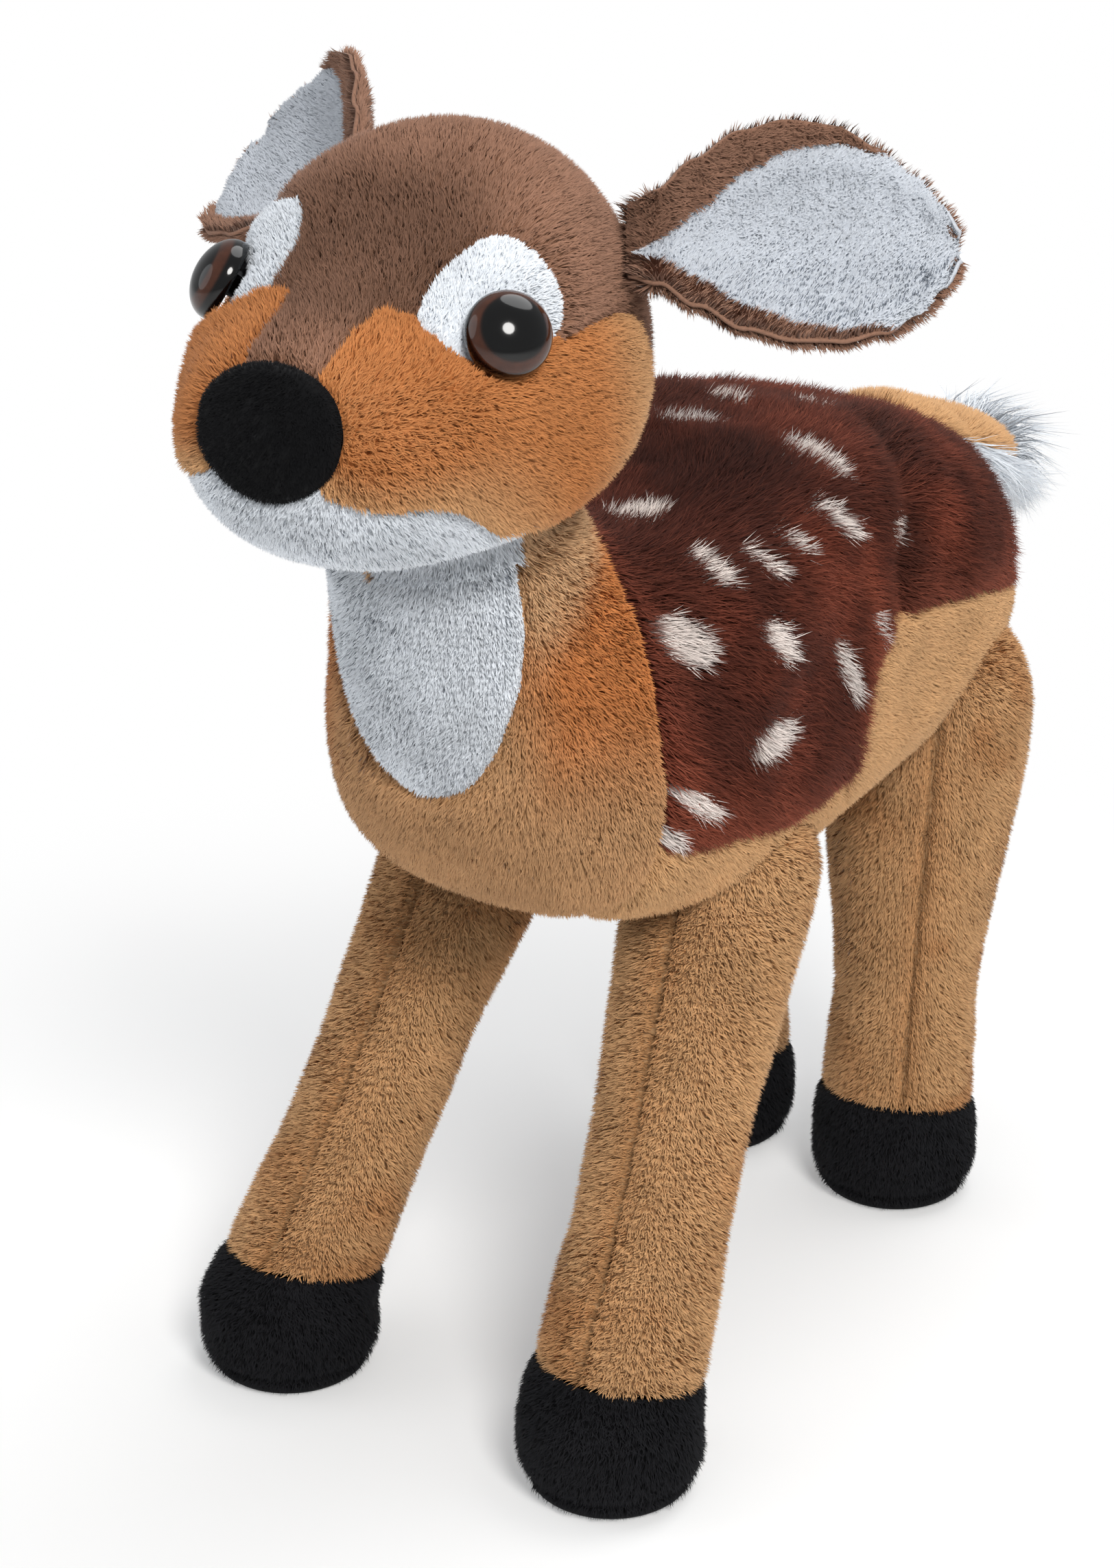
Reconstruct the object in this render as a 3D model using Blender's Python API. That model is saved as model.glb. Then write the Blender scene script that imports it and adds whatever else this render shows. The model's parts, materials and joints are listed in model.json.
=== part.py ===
"""Plush fawn: stuffed cores, sewn fabric panels, safety eyes and swinging limbs.

The fawn looks along -Y, its left side is +X and it stands on Z = 0. Metres throughout.
"""

import math

import bmesh
import bpy
import numpy as np
from mathutils import Matrix, Vector

# Fabric and sewing
FABRIC = 0.0022            # pile fabric with its backing
SKIN_EASE = 0.0016         # between a fabric panel and the stuffing under it
SEAM_GAP = 0.0004          # between two neighbouring panels
SEAT_GAP = 0.0003          # between pieces that lie on each other
SWING_GAP = 0.0008         # round a limb that swings in its socket

# Torso
TORSO_LENGTH = 0.2240      # chest front to rump
TORSO_REAR_Y = 0.1160      # rump end of the torso
TORSO_HEIGHT = 0.1040      # belly to back
TORSO_FLOOR_Z = 0.1130     # underside of the chest
TORSO_HALF_WIDTH = 0.0530
TORSO_SQUARENESS = 3.0     # of its sections; 2 is an ellipse
TAIL_OPENING = 0.0090      # half height of the small closing seam under the tail
TAIL_BULGE = 0.0050        # how far the rump swells behind its last section

# Neck
NECK_Y = -0.0745
NECK_Z = 0.2190
NECK_LEAN = math.radians(12.0)
NECK_BALL_RADIUS = 0.0215
NECK_RIM_RADIUS = 0.0260   # of the torso's and the head's neck openings
NECK_HALF_GAP = 0.0045     # from the ball's centre plane to either opening

# Head
HEAD_LENGTH = 0.1030       # back of the head to the nose
HEAD_REAR_Y = -0.0330
HEAD_HEIGHT = 0.0850       # throat to crown
HEAD_FLOOR_Z = 0.2145
HEAD_HALF_WIDTH = 0.0430
HEAD_SQUARENESS = 2.15

# Eyes
EYE_RADIUS = 0.0088
EYE_DOME = 0.0062          # how far the dome stands out
EYE_SINK = 0.0012          # how deep the eye's rim sits in the pile
EYE_SHANK_RADIUS = 0.0024
EYE_SHANK_LENGTH = 0.0115
EYE_HOLE_EASE = 0.0004
WASHER_RADIUS = 0.0070
WASHER_THICKNESS = 0.0012
WASHER_DEPTH = 0.0050      # below the fabric's outer face
EYE_ALONG_SHARE = 0.560    # place along the head, neck opening to nose
EYE_ROUND_SHARE = 0.408    # place round the head, crown to throat

# Ears
EAR_LENGTH = 0.0670
EAR_WIDTH = 0.0500
EAR_CUP = 0.0110           # how far the long edges curl forward
EAR_FABRIC = 0.0030
EAR_SEAM = 0.0010          # between the ear's back and its lining
EAR_LINING_SHARE = 0.86
EAR_LINING_CENTRE_SHARE = 0.55  # the lining shrinks towards this place along the ear
EAR_CUP_START_SHARE = 0.15 # how much of the curl is there at the root
EAR_ROOT_X = 0.800 * HEAD_HALF_WIDTH
EAR_ROOT_Y = HEAD_REAR_Y - 0.252 * HEAD_LENGTH
EAR_ROOT_Z = HEAD_FLOOR_Z + 0.712 * HEAD_HEIGHT
EAR_SWEEP = math.radians(36.0)    # how far the ear points back
EAR_RISE = math.radians(-1.0)
EAR_LEAN = math.radians(42.0)     # how far its upper edge leans back, so that the lining looks up
EAR_FLAP_BACK = 18.0
EAR_FLAP_FORWARD = 18.0
EAR_ROOT_DEPTH = 0.0190    # part of the ear that its pocket in the head clears

# Legs, front then rear
FRONT_HIP_X = 0.0325
FRONT_HIP_Y = -0.0135
FRONT_HIP_Z = 0.1230
FRONT_FOOT_X = 0.0455
FRONT_FOOT_Y = -0.0786
FRONT_BALL_RADIUS = 0.0208
FRONT_THIGH = 0.0500       # over this length the ball narrows to the leg
REAR_HIP_X = 0.0300
REAR_HIP_Y = 0.0830
REAR_HIP_Z = 0.1330
REAR_FOOT_X = 0.0273
REAR_FOOT_Y = 0.0786
REAR_BALL_RADIUS = 0.0248
REAR_THIGH = 0.0840
LEG_RADIUS = 0.0185
HOOF_RADIUS = 0.0195
HOOF_HEIGHT = 0.0260
HOOF_FALL = 0.0180         # over this height the leg comes down upright
SOLE_THICKNESS = 0.0030
SOLE_EDGE = 0.0012         # rounding of the sole's rim
LEG_SWING = 14.0           # degrees, each way
LEG_SOCKET_REACH = 0.0460  # part of the leg that the torso clears

# Tail
TAIL_LENGTH = 0.0680
TAIL_HALF_WIDTH = 0.0200
TAIL_THICKNESS = 0.0170
TAIL_ROOT_Y = 0.0960
TAIL_ROOT_Z = 0.1960
TAIL_DROP = math.radians(22.0)
TAIL_LIFT = 35.0
TAIL_TUCK = 6.0
TAIL_SOCKET_REACH = 0.0360
TAIL_EASE = 0.0005         # round the tail's sewn end

# Mesh fineness
TORSO_ROUND = 24
HEAD_ROUND = 24
LEG_ROUND = 14
DISC_ROUND = 16
BALL_RINGS = 8
HIP_RINGS = 4              # level rings in the upper half of a hip ball
LEG_RINGS = 6
HOOF_RINGS = 3
COVER_COLUMNS = 8
HAUNCH_COLUMNS = 5
BELLY_COLUMNS = 10
CHEST_LOW_COLUMNS = 3      # of the chest, from the cover's lower edge to the bib
BIB_COLUMNS = 6
CROWN_COLUMNS = 12
CHIN_COLUMNS = 6
CHEEK_COLUMNS = 5
PATCH_COLUMNS = 4
EAR_COLUMNS = 6
TAIL_RINGS = 6
TAIL_COLUMNS = 8
SWING_STEPS = 4
SOCKET_RINGS = 3
SHARP_ANGLE = math.radians(45.0)
NORMAL_STEP = 0.004        # share of a form's length, and radians, over which its slope is read

# Sections of the torso from rump to neck. Each row gives the back point and the belly point,
# as shares of the torso's length (from the rump forwards) and height, then the half width.
TORSO_SECTION_SHARES = (
    (0.015, 0.700, 0.030, 0.340, 0.50),
    (0.080, 0.815, 0.060, 0.185, 0.80),
    (0.200, 0.920, 0.180, 0.090, 0.94),
    (0.350, 0.990, 0.345, 0.040, 0.97),
    (0.490, 1.000, 0.490, 0.010, 0.98),
    (0.595, 0.965, 0.605, 0.000, 1.00),
    (0.655, 0.940, 0.690, 0.030, 0.97),
    (0.690, 0.940, 0.800, 0.115, 0.87),
    (0.706, 0.955, 0.884, 0.330, 0.70),
    (0.718, 0.985, 0.922, 0.610, 0.58),
)

# Sections of the head from the neck opening to the nose, in the same form. Lengths run from
# the back of the head forwards, and heights up from the throat.
HEAD_SECTION_SHARES = (
    (0.030, 0.300, 0.700, 0.035, 0.84),
    (0.000, 0.500, 0.765, 0.030, 0.97),
    (0.040, 0.715, 0.815, 0.035, 1.00),
    (0.160, 0.900, 0.865, 0.055, 0.99),
    (0.330, 0.995, 0.905, 0.080, 0.96),
    (0.500, 0.940, 0.940, 0.110, 0.89),
    (0.640, 0.800, 0.965, 0.145, 0.79),
    (0.760, 0.690, 0.985, 0.185, 0.68),
    (0.860, 0.630, 1.000, 0.225, 0.57),
    (0.945, 0.570, 1.010, 0.280, 0.42),
    (0.995, 0.490, 1.020, 0.350, 0.22),
)

# Places along the torso where fabric panels begin and end.
HAUNCH_FRONT_SHARE = 0.450
COVER_FRONT_SHARE = 0.760
BIB_LOW_SHARE = 0.882
TORSO_STATION_SHARES = (
    0.0, 0.070, 0.140, 0.220, 0.300, 0.370, 0.400, 0.425, 0.450, 0.530, 0.610, 0.690,
    0.760, 0.805, 0.845, 0.882, 0.893, 0.906, 0.933, 0.962, 1.0,
)
# The seam between cover and chest leans: round the half turn from back to belly, its place along
# the torso. The stations on both sides lean with it.
CHEST_SEAM_SHARES = (
    (0.00, 0.905), (0.14, 0.905), (0.70, 0.710), (1.00, 0.700),
)
# Lower edge of the spotted cover along the torso, as shares of the half turn from back to belly.
COVER_EDGE_SHARES = (
    (0.00, 0.60), (0.10, 0.575), (0.20, 0.53), (0.30, 0.475), (0.37, 0.46), (0.40, 0.48), (0.45, 0.62),
    (0.53, 0.65), (1.00, 0.66),
)
# Edge of the white belly along the torso, in the same form.
BELLY_EDGE_SHARES = (
    (0.00, 0.80), (0.24, 0.79), (0.36, 0.74), (0.45, 0.67), (1.00, 0.67),
)
BIB_GAP = 0.0012           # between the bib and the chest, whose seam runs aslant
CHEST_TOP_SHARE = 0.85     # of the way to the bib that its upper columns may take
# Half width of the bib along the torso, as shares of the half turn.
BIB_HALF_SHARES = (
    (0.882, 0.035), (0.893, 0.128), (0.906, 0.190), (0.933, 0.300), (0.962, 0.375), (1.0, 0.39),
)

# Places along the head where fabric panels begin and end.
NOSE_SHARE = 0.905
HEAD_STATION_SHARES = (
    0.0, 0.090, 0.180, 0.270, 0.360, 0.440, 0.450, 0.475, 0.520, 0.570, 0.620, 0.665, 0.695,
    0.705, 0.750, 0.800, 0.855, 0.905, 0.950, 1.0,
)
# Seam between crown and cheek from the neck opening to the nose.
CROWN_EDGE_SHARES = (
    (0.00, 0.32), (0.20, 0.32), (0.30, 0.35), (0.36, 0.40), (0.44, 0.45), (0.56, 0.35), (0.705, 0.20),
    (0.750, 0.12), (0.800, 0.12), (0.855, 0.145), (0.905, 0.17),
)
# Seam between cheek and chin.
CHIN_EDGE_SHARES = (
    (0.00, 0.82), (0.22, 0.756), (0.585, 0.722), (0.79, 0.744), (0.905, 0.78),
)
EYE_PATCH_START_SHARE = 0.440
EYE_PATCH_END_SHARE = 0.705
EYE_PATCH_HALF_SHARE = 0.118
EYE_PATCH_MID_SHARES = ((0.440, 0.420), (0.500, 0.395), (0.560, 0.348), (0.635, 0.285), (0.705, 0.235))

# Leg sections from the hip to the hoof seam: place along the leg, then the radius.
LEG_SECTION_SHARES = ((0.0, 1.00), (0.34, 0.96), (0.54, 0.92), (0.72, 0.92), (0.88, 0.97), (1.0, 1.00))
HOOF_SECTION_SHARES = ((0.0, 1.00), (0.30, 1.03), (0.62, 1.04), (0.86, 1.00), (1.0, 0.95))

EAR_OUTLINE_SHARES = (
    (0.00, 0.32), (0.09, 0.42), (0.20, 0.66), (0.34, 0.90), (0.48, 1.00), (0.62, 0.98), (0.76, 0.84),
    (0.87, 0.63), (0.95, 0.37), (1.00, 0.12),
)
TAIL_OUTLINE_SHARES = (
    (0.00, 0.42), (0.12, 0.62), (0.30, 0.84), (0.52, 1.00), (0.72, 0.95), (0.88, 0.68), (1.00, 0.22),
)
EYE_DOME_SHARES = ((0.0, 1.0), (0.30, 0.955), (0.56, 0.83), (0.78, 0.62), (0.93, 0.35))

COLOURS = {
    "stuffing": ((0.86, 0.86, 0.84), 1.0),
    "cover": ((0.115, 0.032, 0.020), 0.95),
    "tan": ((0.520, 0.270, 0.110), 0.95),
    "cheek": ((0.560, 0.240, 0.075), 0.95),
    "crown": ((0.170, 0.085, 0.052), 0.95),
    "white": ((0.780, 0.800, 0.830), 0.95),
    "black": ((0.010, 0.010, 0.011), 0.90),
    "eye": ((0.030, 0.014, 0.008), 0.06),
    "washer": ((0.700, 0.700, 0.680), 0.45),
}

FULL_TURN = 2.0 * math.pi
HALF_TURN = math.pi


def clear_scene():
    for item in list(bpy.data.objects):
        bpy.data.objects.remove(item, do_unlink=True)


def material(name):
    found = bpy.data.materials.get(name)
    if found:
        return found
    colour, roughness = COLOURS[name]
    made = bpy.data.materials.new(name)
    made.use_nodes = True
    shader = made.node_tree.nodes["Principled BSDF"]
    shader.inputs["Base Color"].default_value = (*colour, 1.0)
    shader.inputs["Roughness"].default_value = roughness
    shader.inputs["Metallic"].default_value = 0.0
    made.diffuse_color = (*colour, 1.0)
    return made


def empty(name, place, parent=None):
    """A joint's own marker: whatever moves about the joint hangs under it."""
    marker = bpy.data.objects.new(name, None)
    bpy.context.scene.collection.objects.link(marker)
    marker.location = place
    if parent:
        marker.parent = parent
        marker.matrix_parent_inverse = parent.matrix_world.inverted()
    bpy.context.view_layer.update()
    return marker


def add_mesh(name, points, faces, finish=None, parent=None, smooth=True):
    """Build a closed mesh with its faces turned outwards and hang it under its joint."""
    mesh = bpy.data.meshes.new(name)
    mesh.from_pydata([tuple(float(c) for c in p) for p in points], [], faces)
    work = bmesh.new()
    work.from_mesh(mesh)
    bmesh.ops.recalc_face_normals(work, faces=work.faces)
    if work.calc_volume(signed=True) < 0.0:
        bmesh.ops.reverse_faces(work, faces=work.faces)
    work.to_mesh(mesh)
    work.free()
    mesh.update()
    item = bpy.data.objects.new(name, mesh)
    bpy.context.scene.collection.objects.link(item)
    if smooth:
        mesh.shade_smooth()
        mesh.set_sharp_from_angle(angle=SHARP_ANGLE)
    if finish:
        mesh.materials.append(material(finish))
    if parent:
        mesh.transform(Matrix.Translation(-parent.matrix_world.translation))
        item.parent = parent
    return item


def cut(item, cutters):
    """Take cutters away from a solid."""
    for cutter in cutters:
        step = item.modifiers.new("cut_" + cutter.name, "BOOLEAN")
        step.operation = "DIFFERENCE"
        step.solver = "EXACT"
        step.object = cutter


def as_cutter(item):
    item.display_type = "WIRE"
    item.hide_render = True
    return item


def curve_through(rows, places):
    """Read a smooth curve through hand-placed rows at the given shares of its length."""
    rows = np.array(rows, dtype=float)
    count = len(rows)
    spots = np.clip(np.array(places, dtype=float), 0.0, 1.0) * (count - 1)
    first = np.minimum(spots.astype(int), count - 2)
    part = (spots - first)[:, None]
    padded = np.vstack([2.0 * rows[0] - rows[1], rows, 2.0 * rows[-1] - rows[-2]])
    a, b, c, d = (padded[first + step] for step in range(4))
    return 0.5 * (2.0 * b + (c - a) * part + (2.0 * a - 5.0 * b + 4.0 * c - d) * part ** 2
                  + (3.0 * b - a - 3.0 * c + d) * part ** 3)


def share_at(table, place):
    """Smoothly read a two-column table of shares."""
    places, values = zip(*table)
    place = min(max(place, places[0]), places[-1])
    for low in range(len(places) - 1):
        if place <= places[low + 1]:
            part = (place - places[low]) / (places[low + 1] - places[low])
            part = part * part * (3.0 - 2.0 * part)
            return values[low] + (values[low + 1] - values[low]) * part
    return values[-1]


class Form:
    """A stuffed form: sections between a back line and a belly line, from one end to the other."""

    def __init__(self, rows, squareness, leaning=False):
        self.rows = rows
        self.squareness = squareness
        self.leaning = leaning

    def leant(self, along, turn):
        """Where a station runs at a turn: those of the torso lean with the seam of the chest."""
        if not self.leaning or along <= HAUNCH_FRONT_SHARE:
            return along
        round_share = abs((turn + HALF_TURN) % FULL_TURN - HALF_TURN) / HALF_TURN
        shift = share_at(CHEST_SEAM_SHARES, round_share) - COVER_FRONT_SHARE
        if along <= COVER_FRONT_SHARE:
            return along + shift * (along - HAUNCH_FRONT_SHARE) / (COVER_FRONT_SHARE - HAUNCH_FRONT_SHARE)
        return along + shift * (1.0 - along) / (1.0 - COVER_FRONT_SHARE)

    def section(self, along):
        back_y, back_z, belly_y, belly_z, half_width = curve_through(self.rows, [along])[0]
        return np.array([0.0, back_y, back_z]), np.array([0.0, belly_y, belly_z]), half_width

    def outer(self, along, turn):
        back, belly, half_width = self.section(along)
        middle = (back + belly) / 2.0
        rise, side = math.cos(turn), math.sin(turn)
        power = 2.0 + (self.squareness - 2.0) * math.sin(HALF_TURN * min(max(along, 0.0), 1.0))
        reach = (abs(rise) ** power + abs(side) ** power) ** (-1.0 / power)
        return middle + ((back - middle) * rise + np.array([half_width, 0.0, 0.0]) * side) * reach

    def normal(self, along, turn):
        low, high = max(along - NORMAL_STEP, 0.0), min(along + NORMAL_STEP, 1.0)
        across = self.outer(along, turn + NORMAL_STEP) - self.outer(along, turn - NORMAL_STEP)
        lengthwise = self.outer(high, turn) - self.outer(low, turn)
        out = np.cross(across, lengthwise)
        out = out / np.linalg.norm(out)
        middle = sum(self.section(along)[:2]) / 2.0
        return out if np.dot(out, self.outer(along, turn) - middle) > 0.0 else -out

    def point(self, along, turn, depth):
        """The place at a depth under the outer face. The end rings keep their own plane."""
        along = self.leant(along, turn)
        place = self.outer(along, turn)
        if depth == 0.0:
            return place
        normal = self.normal(along, turn)
        if along <= 0.0 or along >= 1.0:
            back, belly, _ = self.section(along)
            plane = np.cross(back - belly, np.array([1.0, 0.0, 0.0]))
            plane /= np.linalg.norm(plane)
            flat = normal - plane * np.dot(normal, plane)
            normal = flat / np.linalg.norm(flat)
        return place - normal * depth

    def turn_for(self, along, turn, width):
        """The change of turn that covers a width on the outer face."""
        along = self.leant(along, turn)
        across = self.outer(along, turn + NORMAL_STEP) - self.outer(along, turn - NORMAL_STEP)
        return width / max(np.linalg.norm(across) / (2.0 * NORMAL_STEP), width)


def rows_in_metres(shares, rear_y, length, floor_z, height, half_width):
    rows = []
    for back_share, back_rise, belly_share, belly_rise, width in shares:
        rows.append((rear_y - back_share * length, floor_z + back_rise * height,
                     rear_y - belly_share * length, floor_z + belly_rise * height, width * half_width))
    return rows


def neck_axis():
    return np.array([0.0, -math.sin(NECK_LEAN), math.cos(NECK_LEAN)])


def neck_rim(side):
    """The last section of the torso (side -1) or the first of the head (side +1)."""
    centre = np.array([0.0, NECK_Y, NECK_Z]) + neck_axis() * NECK_HALF_GAP * side
    backwards = np.array([0.0, math.cos(NECK_LEAN), math.sin(NECK_LEAN)]) * NECK_RIM_RADIUS
    back, belly = centre + backwards, centre - backwards
    return back[1], back[2], belly[1], belly[2], NECK_RIM_RADIUS


def torso_form():
    rows = rows_in_metres(TORSO_SECTION_SHARES, TORSO_REAR_Y, TORSO_LENGTH, TORSO_FLOOR_Z, TORSO_HEIGHT,
                          TORSO_HALF_WIDTH)
    tail_y, back_z, _, belly_z, _ = rows[0]
    middle = (back_z + belly_z) / 2.0
    root = (tail_y + TAIL_BULGE, middle + TAIL_OPENING, tail_y + TAIL_BULGE, middle - TAIL_OPENING, TAIL_OPENING)
    return Form([root] + rows + [neck_rim(-1.0)], TORSO_SQUARENESS, leaning=True)


def head_form():
    rows = rows_in_metres(HEAD_SECTION_SHARES, HEAD_REAR_Y, HEAD_LENGTH, HEAD_FLOOR_Z, HEAD_HEIGHT,
                          HEAD_HALF_WIDTH)
    return Form([neck_rim(1.0)] + rows, HEAD_SQUARENESS)


def grid_shell(name, outer, inner, active, wrap, finish, parent):
    """Close two matching grids of points into one fabric panel, leaving out cells that are not active."""
    rows, columns = len(outer), len(outer[0])
    reach = columns if wrap else columns - 1
    cells = [(i, j) for i in range(rows - 1) for j in range(reach) if active(i, j)]
    index = {}
    points = []

    def vertex(layer, i, j):
        key = (layer, i, j % columns)
        if key not in index:
            index[key] = len(points)
            points.append((outer if layer == 0 else inner)[i][j % columns])
        return index[key]

    faces = []
    edges = {}
    for i, j in cells:
        corners = [(i, j), (i, j + 1), (i + 1, j + 1), (i + 1, j)]
        faces.append([vertex(0, *c) for c in corners])
        faces.append([vertex(1, *c) for c in reversed(corners)])
        for a, b in zip(corners, corners[1:] + corners[:1]):
            a, b = (a[0], a[1] % columns), (b[0], b[1] % columns)
            if (b, a) in edges:
                del edges[(b, a)]
            else:
                edges[(a, b)] = True
    for a, b in edges:
        faces.append([vertex(0, *b), vertex(0, *a), vertex(1, *a), vertex(1, *b)])
    return add_mesh(name, points, faces, finish, parent)


def panel(name, form, stations, columns_at, finish, parent, depth=0.0, thickness=FABRIC, active=None, wrap=False):
    """A fabric panel on a stuffed form: at each station, the turns of its columns."""
    outer = [[form.point(s, t, depth) for t in columns_at(s)] for s in stations]
    inner = [[form.point(s, t, depth + thickness) for t in columns_at(s)] for s in stations]
    keep = active if active else (lambda i, j: True)
    return grid_shell(name, outer, inner, keep, wrap, finish, parent)


def spread(low, high, count):
    return [low + (high - low) * k / count for k in range(count + 1)]


def between(stations, low, high):
    return [s for s in stations if low <= s <= high]


def form_core(name, form, stations, around, parent):
    """The stuffing: the whole form, drawn in by its fabric and the ease under it."""
    depth = FABRIC + SKIN_EASE
    rings = []
    for s in stations:
        rings.append([form.point(s, FULL_TURN * k / around, depth) for k in range(around)])
    return ring_solid(name, rings, "stuffing", parent)


def ring_solid(name, rings, finish=None, parent=None, smooth=True, point_start=None, point_end=None):
    """Join rings of points into one solid with closed ends."""
    around = len(rings[0])
    points = [p for ring in rings for p in ring]
    faces = []
    for i in range(len(rings) - 1):
        for j in range(around):
            a, b = i * around + j, i * around + (j + 1) % around
            faces.append([a, b, b + around, a + around])
    first = list(range(around))
    last = list(range((len(rings) - 1) * around, len(rings) * around))
    for ring, tip in ((first, point_start), (last, point_end)):
        if tip is None:
            faces.append(ring)
        else:
            points.append(tip)
            faces.extend([ring[j], ring[(j + 1) % around], len(points) - 1] for j in range(around))
    return add_mesh(name, points, faces, finish, parent, smooth)


def frame_from(normal):
    """Two directions square to a normal."""
    normal = np.array(normal, dtype=float) / np.linalg.norm(normal)
    side = np.cross(normal, [0.0, 0.0, 1.0])
    side /= np.linalg.norm(side)
    return side, np.cross(side, normal), normal


def turned(name, centre, normal, profile, finish=None, parent=None, around=DISC_ROUND):
    """A turned solid: a profile of (radius, height) pairs about an axis through the centre."""
    side, up, out = frame_from(normal)
    rings = []
    for radius, height in profile:
        rings.append([np.array(centre) + out * height
                      + (side * math.cos(FULL_TURN * k / around) + up * math.sin(FULL_TURN * k / around)) * radius
                      for k in range(around)])
    return ring_solid(name, rings, finish, parent)


def ball(name, centre, radius, finish=None, parent=None, around=DISC_ROUND, axis=(0.0, 0.0, 1.0)):
    """A sphere built as a turned solid with flat little poles."""
    profile = []
    for k in range(BALL_RINGS + 1):
        angle = HALF_TURN * (k + 0.5) / (BALL_RINGS + 1)
        profile.append((radius * math.sin(angle), -radius * math.cos(angle)))
    return turned(name, centre, axis, profile, finish, parent, around)


def hull_of(places):
    """The convex hull of some places, as a working mesh."""
    work = bmesh.new()
    for place in places:
        work.verts.new(place)
    hull = bmesh.ops.convex_hull(work, input=work.verts)
    spare = {g for g in hull["geom_interior"] + hull["geom_unused"] if isinstance(g, bmesh.types.BMVert)}
    bmesh.ops.delete(work, geom=list(spare), context="VERTS")
    return work


def swept_cutter(name, points, pivot, axis, low, high):
    """The space that a swinging end needs: the hull of its grown points, turned to both limits."""
    pivot = Vector(pivot)
    cloud = []
    for step in range(SWING_STEPS):
        angle = math.radians(low + (high - low) * step / (SWING_STEPS - 1))
        turn = Matrix.Rotation(angle, 3, Vector(axis))
        cloud.extend(pivot + turn @ (Vector(p) - pivot) for p in points)
    work = hull_of(cloud)
    bmesh.ops.recalc_face_normals(work, faces=work.faces)
    mesh = bpy.data.meshes.new(name)
    work.to_mesh(mesh)
    work.free()
    item = bpy.data.objects.new(name, mesh)
    bpy.context.scene.collection.objects.link(item)
    return as_cutter(item)


def build_torso(root, sockets):
    """The trunk: stuffing, spotted cover, chest, bib, haunches and belly."""
    form = torso_form()
    stations = TORSO_STATION_SHARES
    neck_cup = as_cutter(ball("neck_cup_cutter", (0.0, NECK_Y, NECK_Z), NECK_BALL_RADIUS + SEAT_GAP,
                              axis=neck_axis()))
    core = form_core("torso_stuffing", form, stations, TORSO_ROUND, root)
    cut(core, sockets + [neck_cup])

    def cover_edge(s):
        return share_at(COVER_EDGE_SHARES, s) * HALF_TURN

    def belly_edge(s):
        """The white belly starts under the haunch, and further forward right at the cover's edge."""
        if s > HAUNCH_FRONT_SHARE:
            return cover_edge(s)
        return share_at(BELLY_EDGE_SHARES, s) * HALF_TURN

    def half_gap(s, turn):
        return form.turn_for(s, turn, SEAM_GAP / 2.0)

    made = []
    body_run = between(stations, 0.0, COVER_FRONT_SHARE)
    seam_run = SEAM_GAP / TORSO_LENGTH
    cover_run = body_run[:-1] + [COVER_FRONT_SHARE - seam_run]
    for side, label in ((1.0, "left"), (-1.0, "right")):
        def cover_columns(s, side=side):
            edge = cover_edge(s)
            return [side * t for t in spread(half_gap(s, 0.0), edge - half_gap(s, edge), COVER_COLUMNS)]

        def haunch_columns(s, side=side):
            top, low = cover_edge(s), belly_edge(s)
            return [side * t for t in spread(top + half_gap(s, top), low - half_gap(s, low), HAUNCH_COLUMNS)]

        made.append(panel("back_cover_" + label, form, cover_run, cover_columns, "cover", root))
        haunch_run = between(stations, 0.0, HAUNCH_FRONT_SHARE)
        made.append(panel("haunch_" + label, form, haunch_run, haunch_columns, "tan", root))

    def belly_columns(s):
        edge = belly_edge(s)
        low = edge + half_gap(s, edge)
        return spread(low, FULL_TURN - low, BELLY_COLUMNS)

    made.append(panel("belly_panel", form, cover_run, belly_columns, "white", root))

    chest_run = between(stations, COVER_FRONT_SHARE, 1.0)
    chest_run[0] = COVER_FRONT_SHARE + seam_run
    bib_start = BIB_LOW_SHARE + seam_run * 2.0
    chest_run.insert(chest_run.index(BIB_LOW_SHARE) + 1, bib_start)

    side_columns = 2 * (COVER_COLUMNS + CHEST_LOW_COLUMNS)

    def bib_half(s):
        return share_at(BIB_HALF_SHARES, s) * HALF_TURN

    def chest_columns(s):
        half = bib_half(s) + form.turn_for(s, HALF_TURN, BIB_GAP / 2.0)
        edge = min(cover_edge(s), CHEST_TOP_SHARE * (HALF_TURN - half))
        turns = spread(0.0, edge, COVER_COLUMNS) + spread(edge, HALF_TURN - half, CHEST_LOW_COLUMNS)[1:]
        sides = [FULL_TURN - t for t in reversed(turns)] + [FULL_TURN + t for t in turns[1:]]
        middle = spread(HALF_TURN - half, HALF_TURN + half, BIB_COLUMNS)
        return sides + [t + FULL_TURN for t in middle[1:-1]]

    def chest_active(i, j):
        return j < side_columns or chest_run[i + 1] <= BIB_LOW_SHARE

    made.append(panel("chest_panel", form, chest_run, chest_columns, "tan", root, active=chest_active, wrap=True))

    bib_run = between(stations, BIB_LOW_SHARE, 1.0)
    bib_run[0] = bib_start

    def bib_columns(s):
        half = bib_half(s) - form.turn_for(s, HALF_TURN, BIB_GAP / 2.0)
        return spread(HALF_TURN - half, HALF_TURN + half, BIB_COLUMNS)

    made.append(panel("bib_panel", form, bib_run, bib_columns, "white", root))
    for item in made:
        cut(item, sockets)
    return form


def build_neck(turn_marker):
    """The round plug of stuffing that the head turns and nods on."""
    return ball("neck_stuffing", (0.0, NECK_Y, NECK_Z), NECK_BALL_RADIUS - SEAT_GAP, "stuffing", turn_marker,
                axis=neck_axis())


def eye_seat(form, side):
    turn = side * EYE_ROUND_SHARE * HALF_TURN
    return form.outer(EYE_ALONG_SHARE, turn), form.normal(EYE_ALONG_SHARE, turn)


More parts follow.
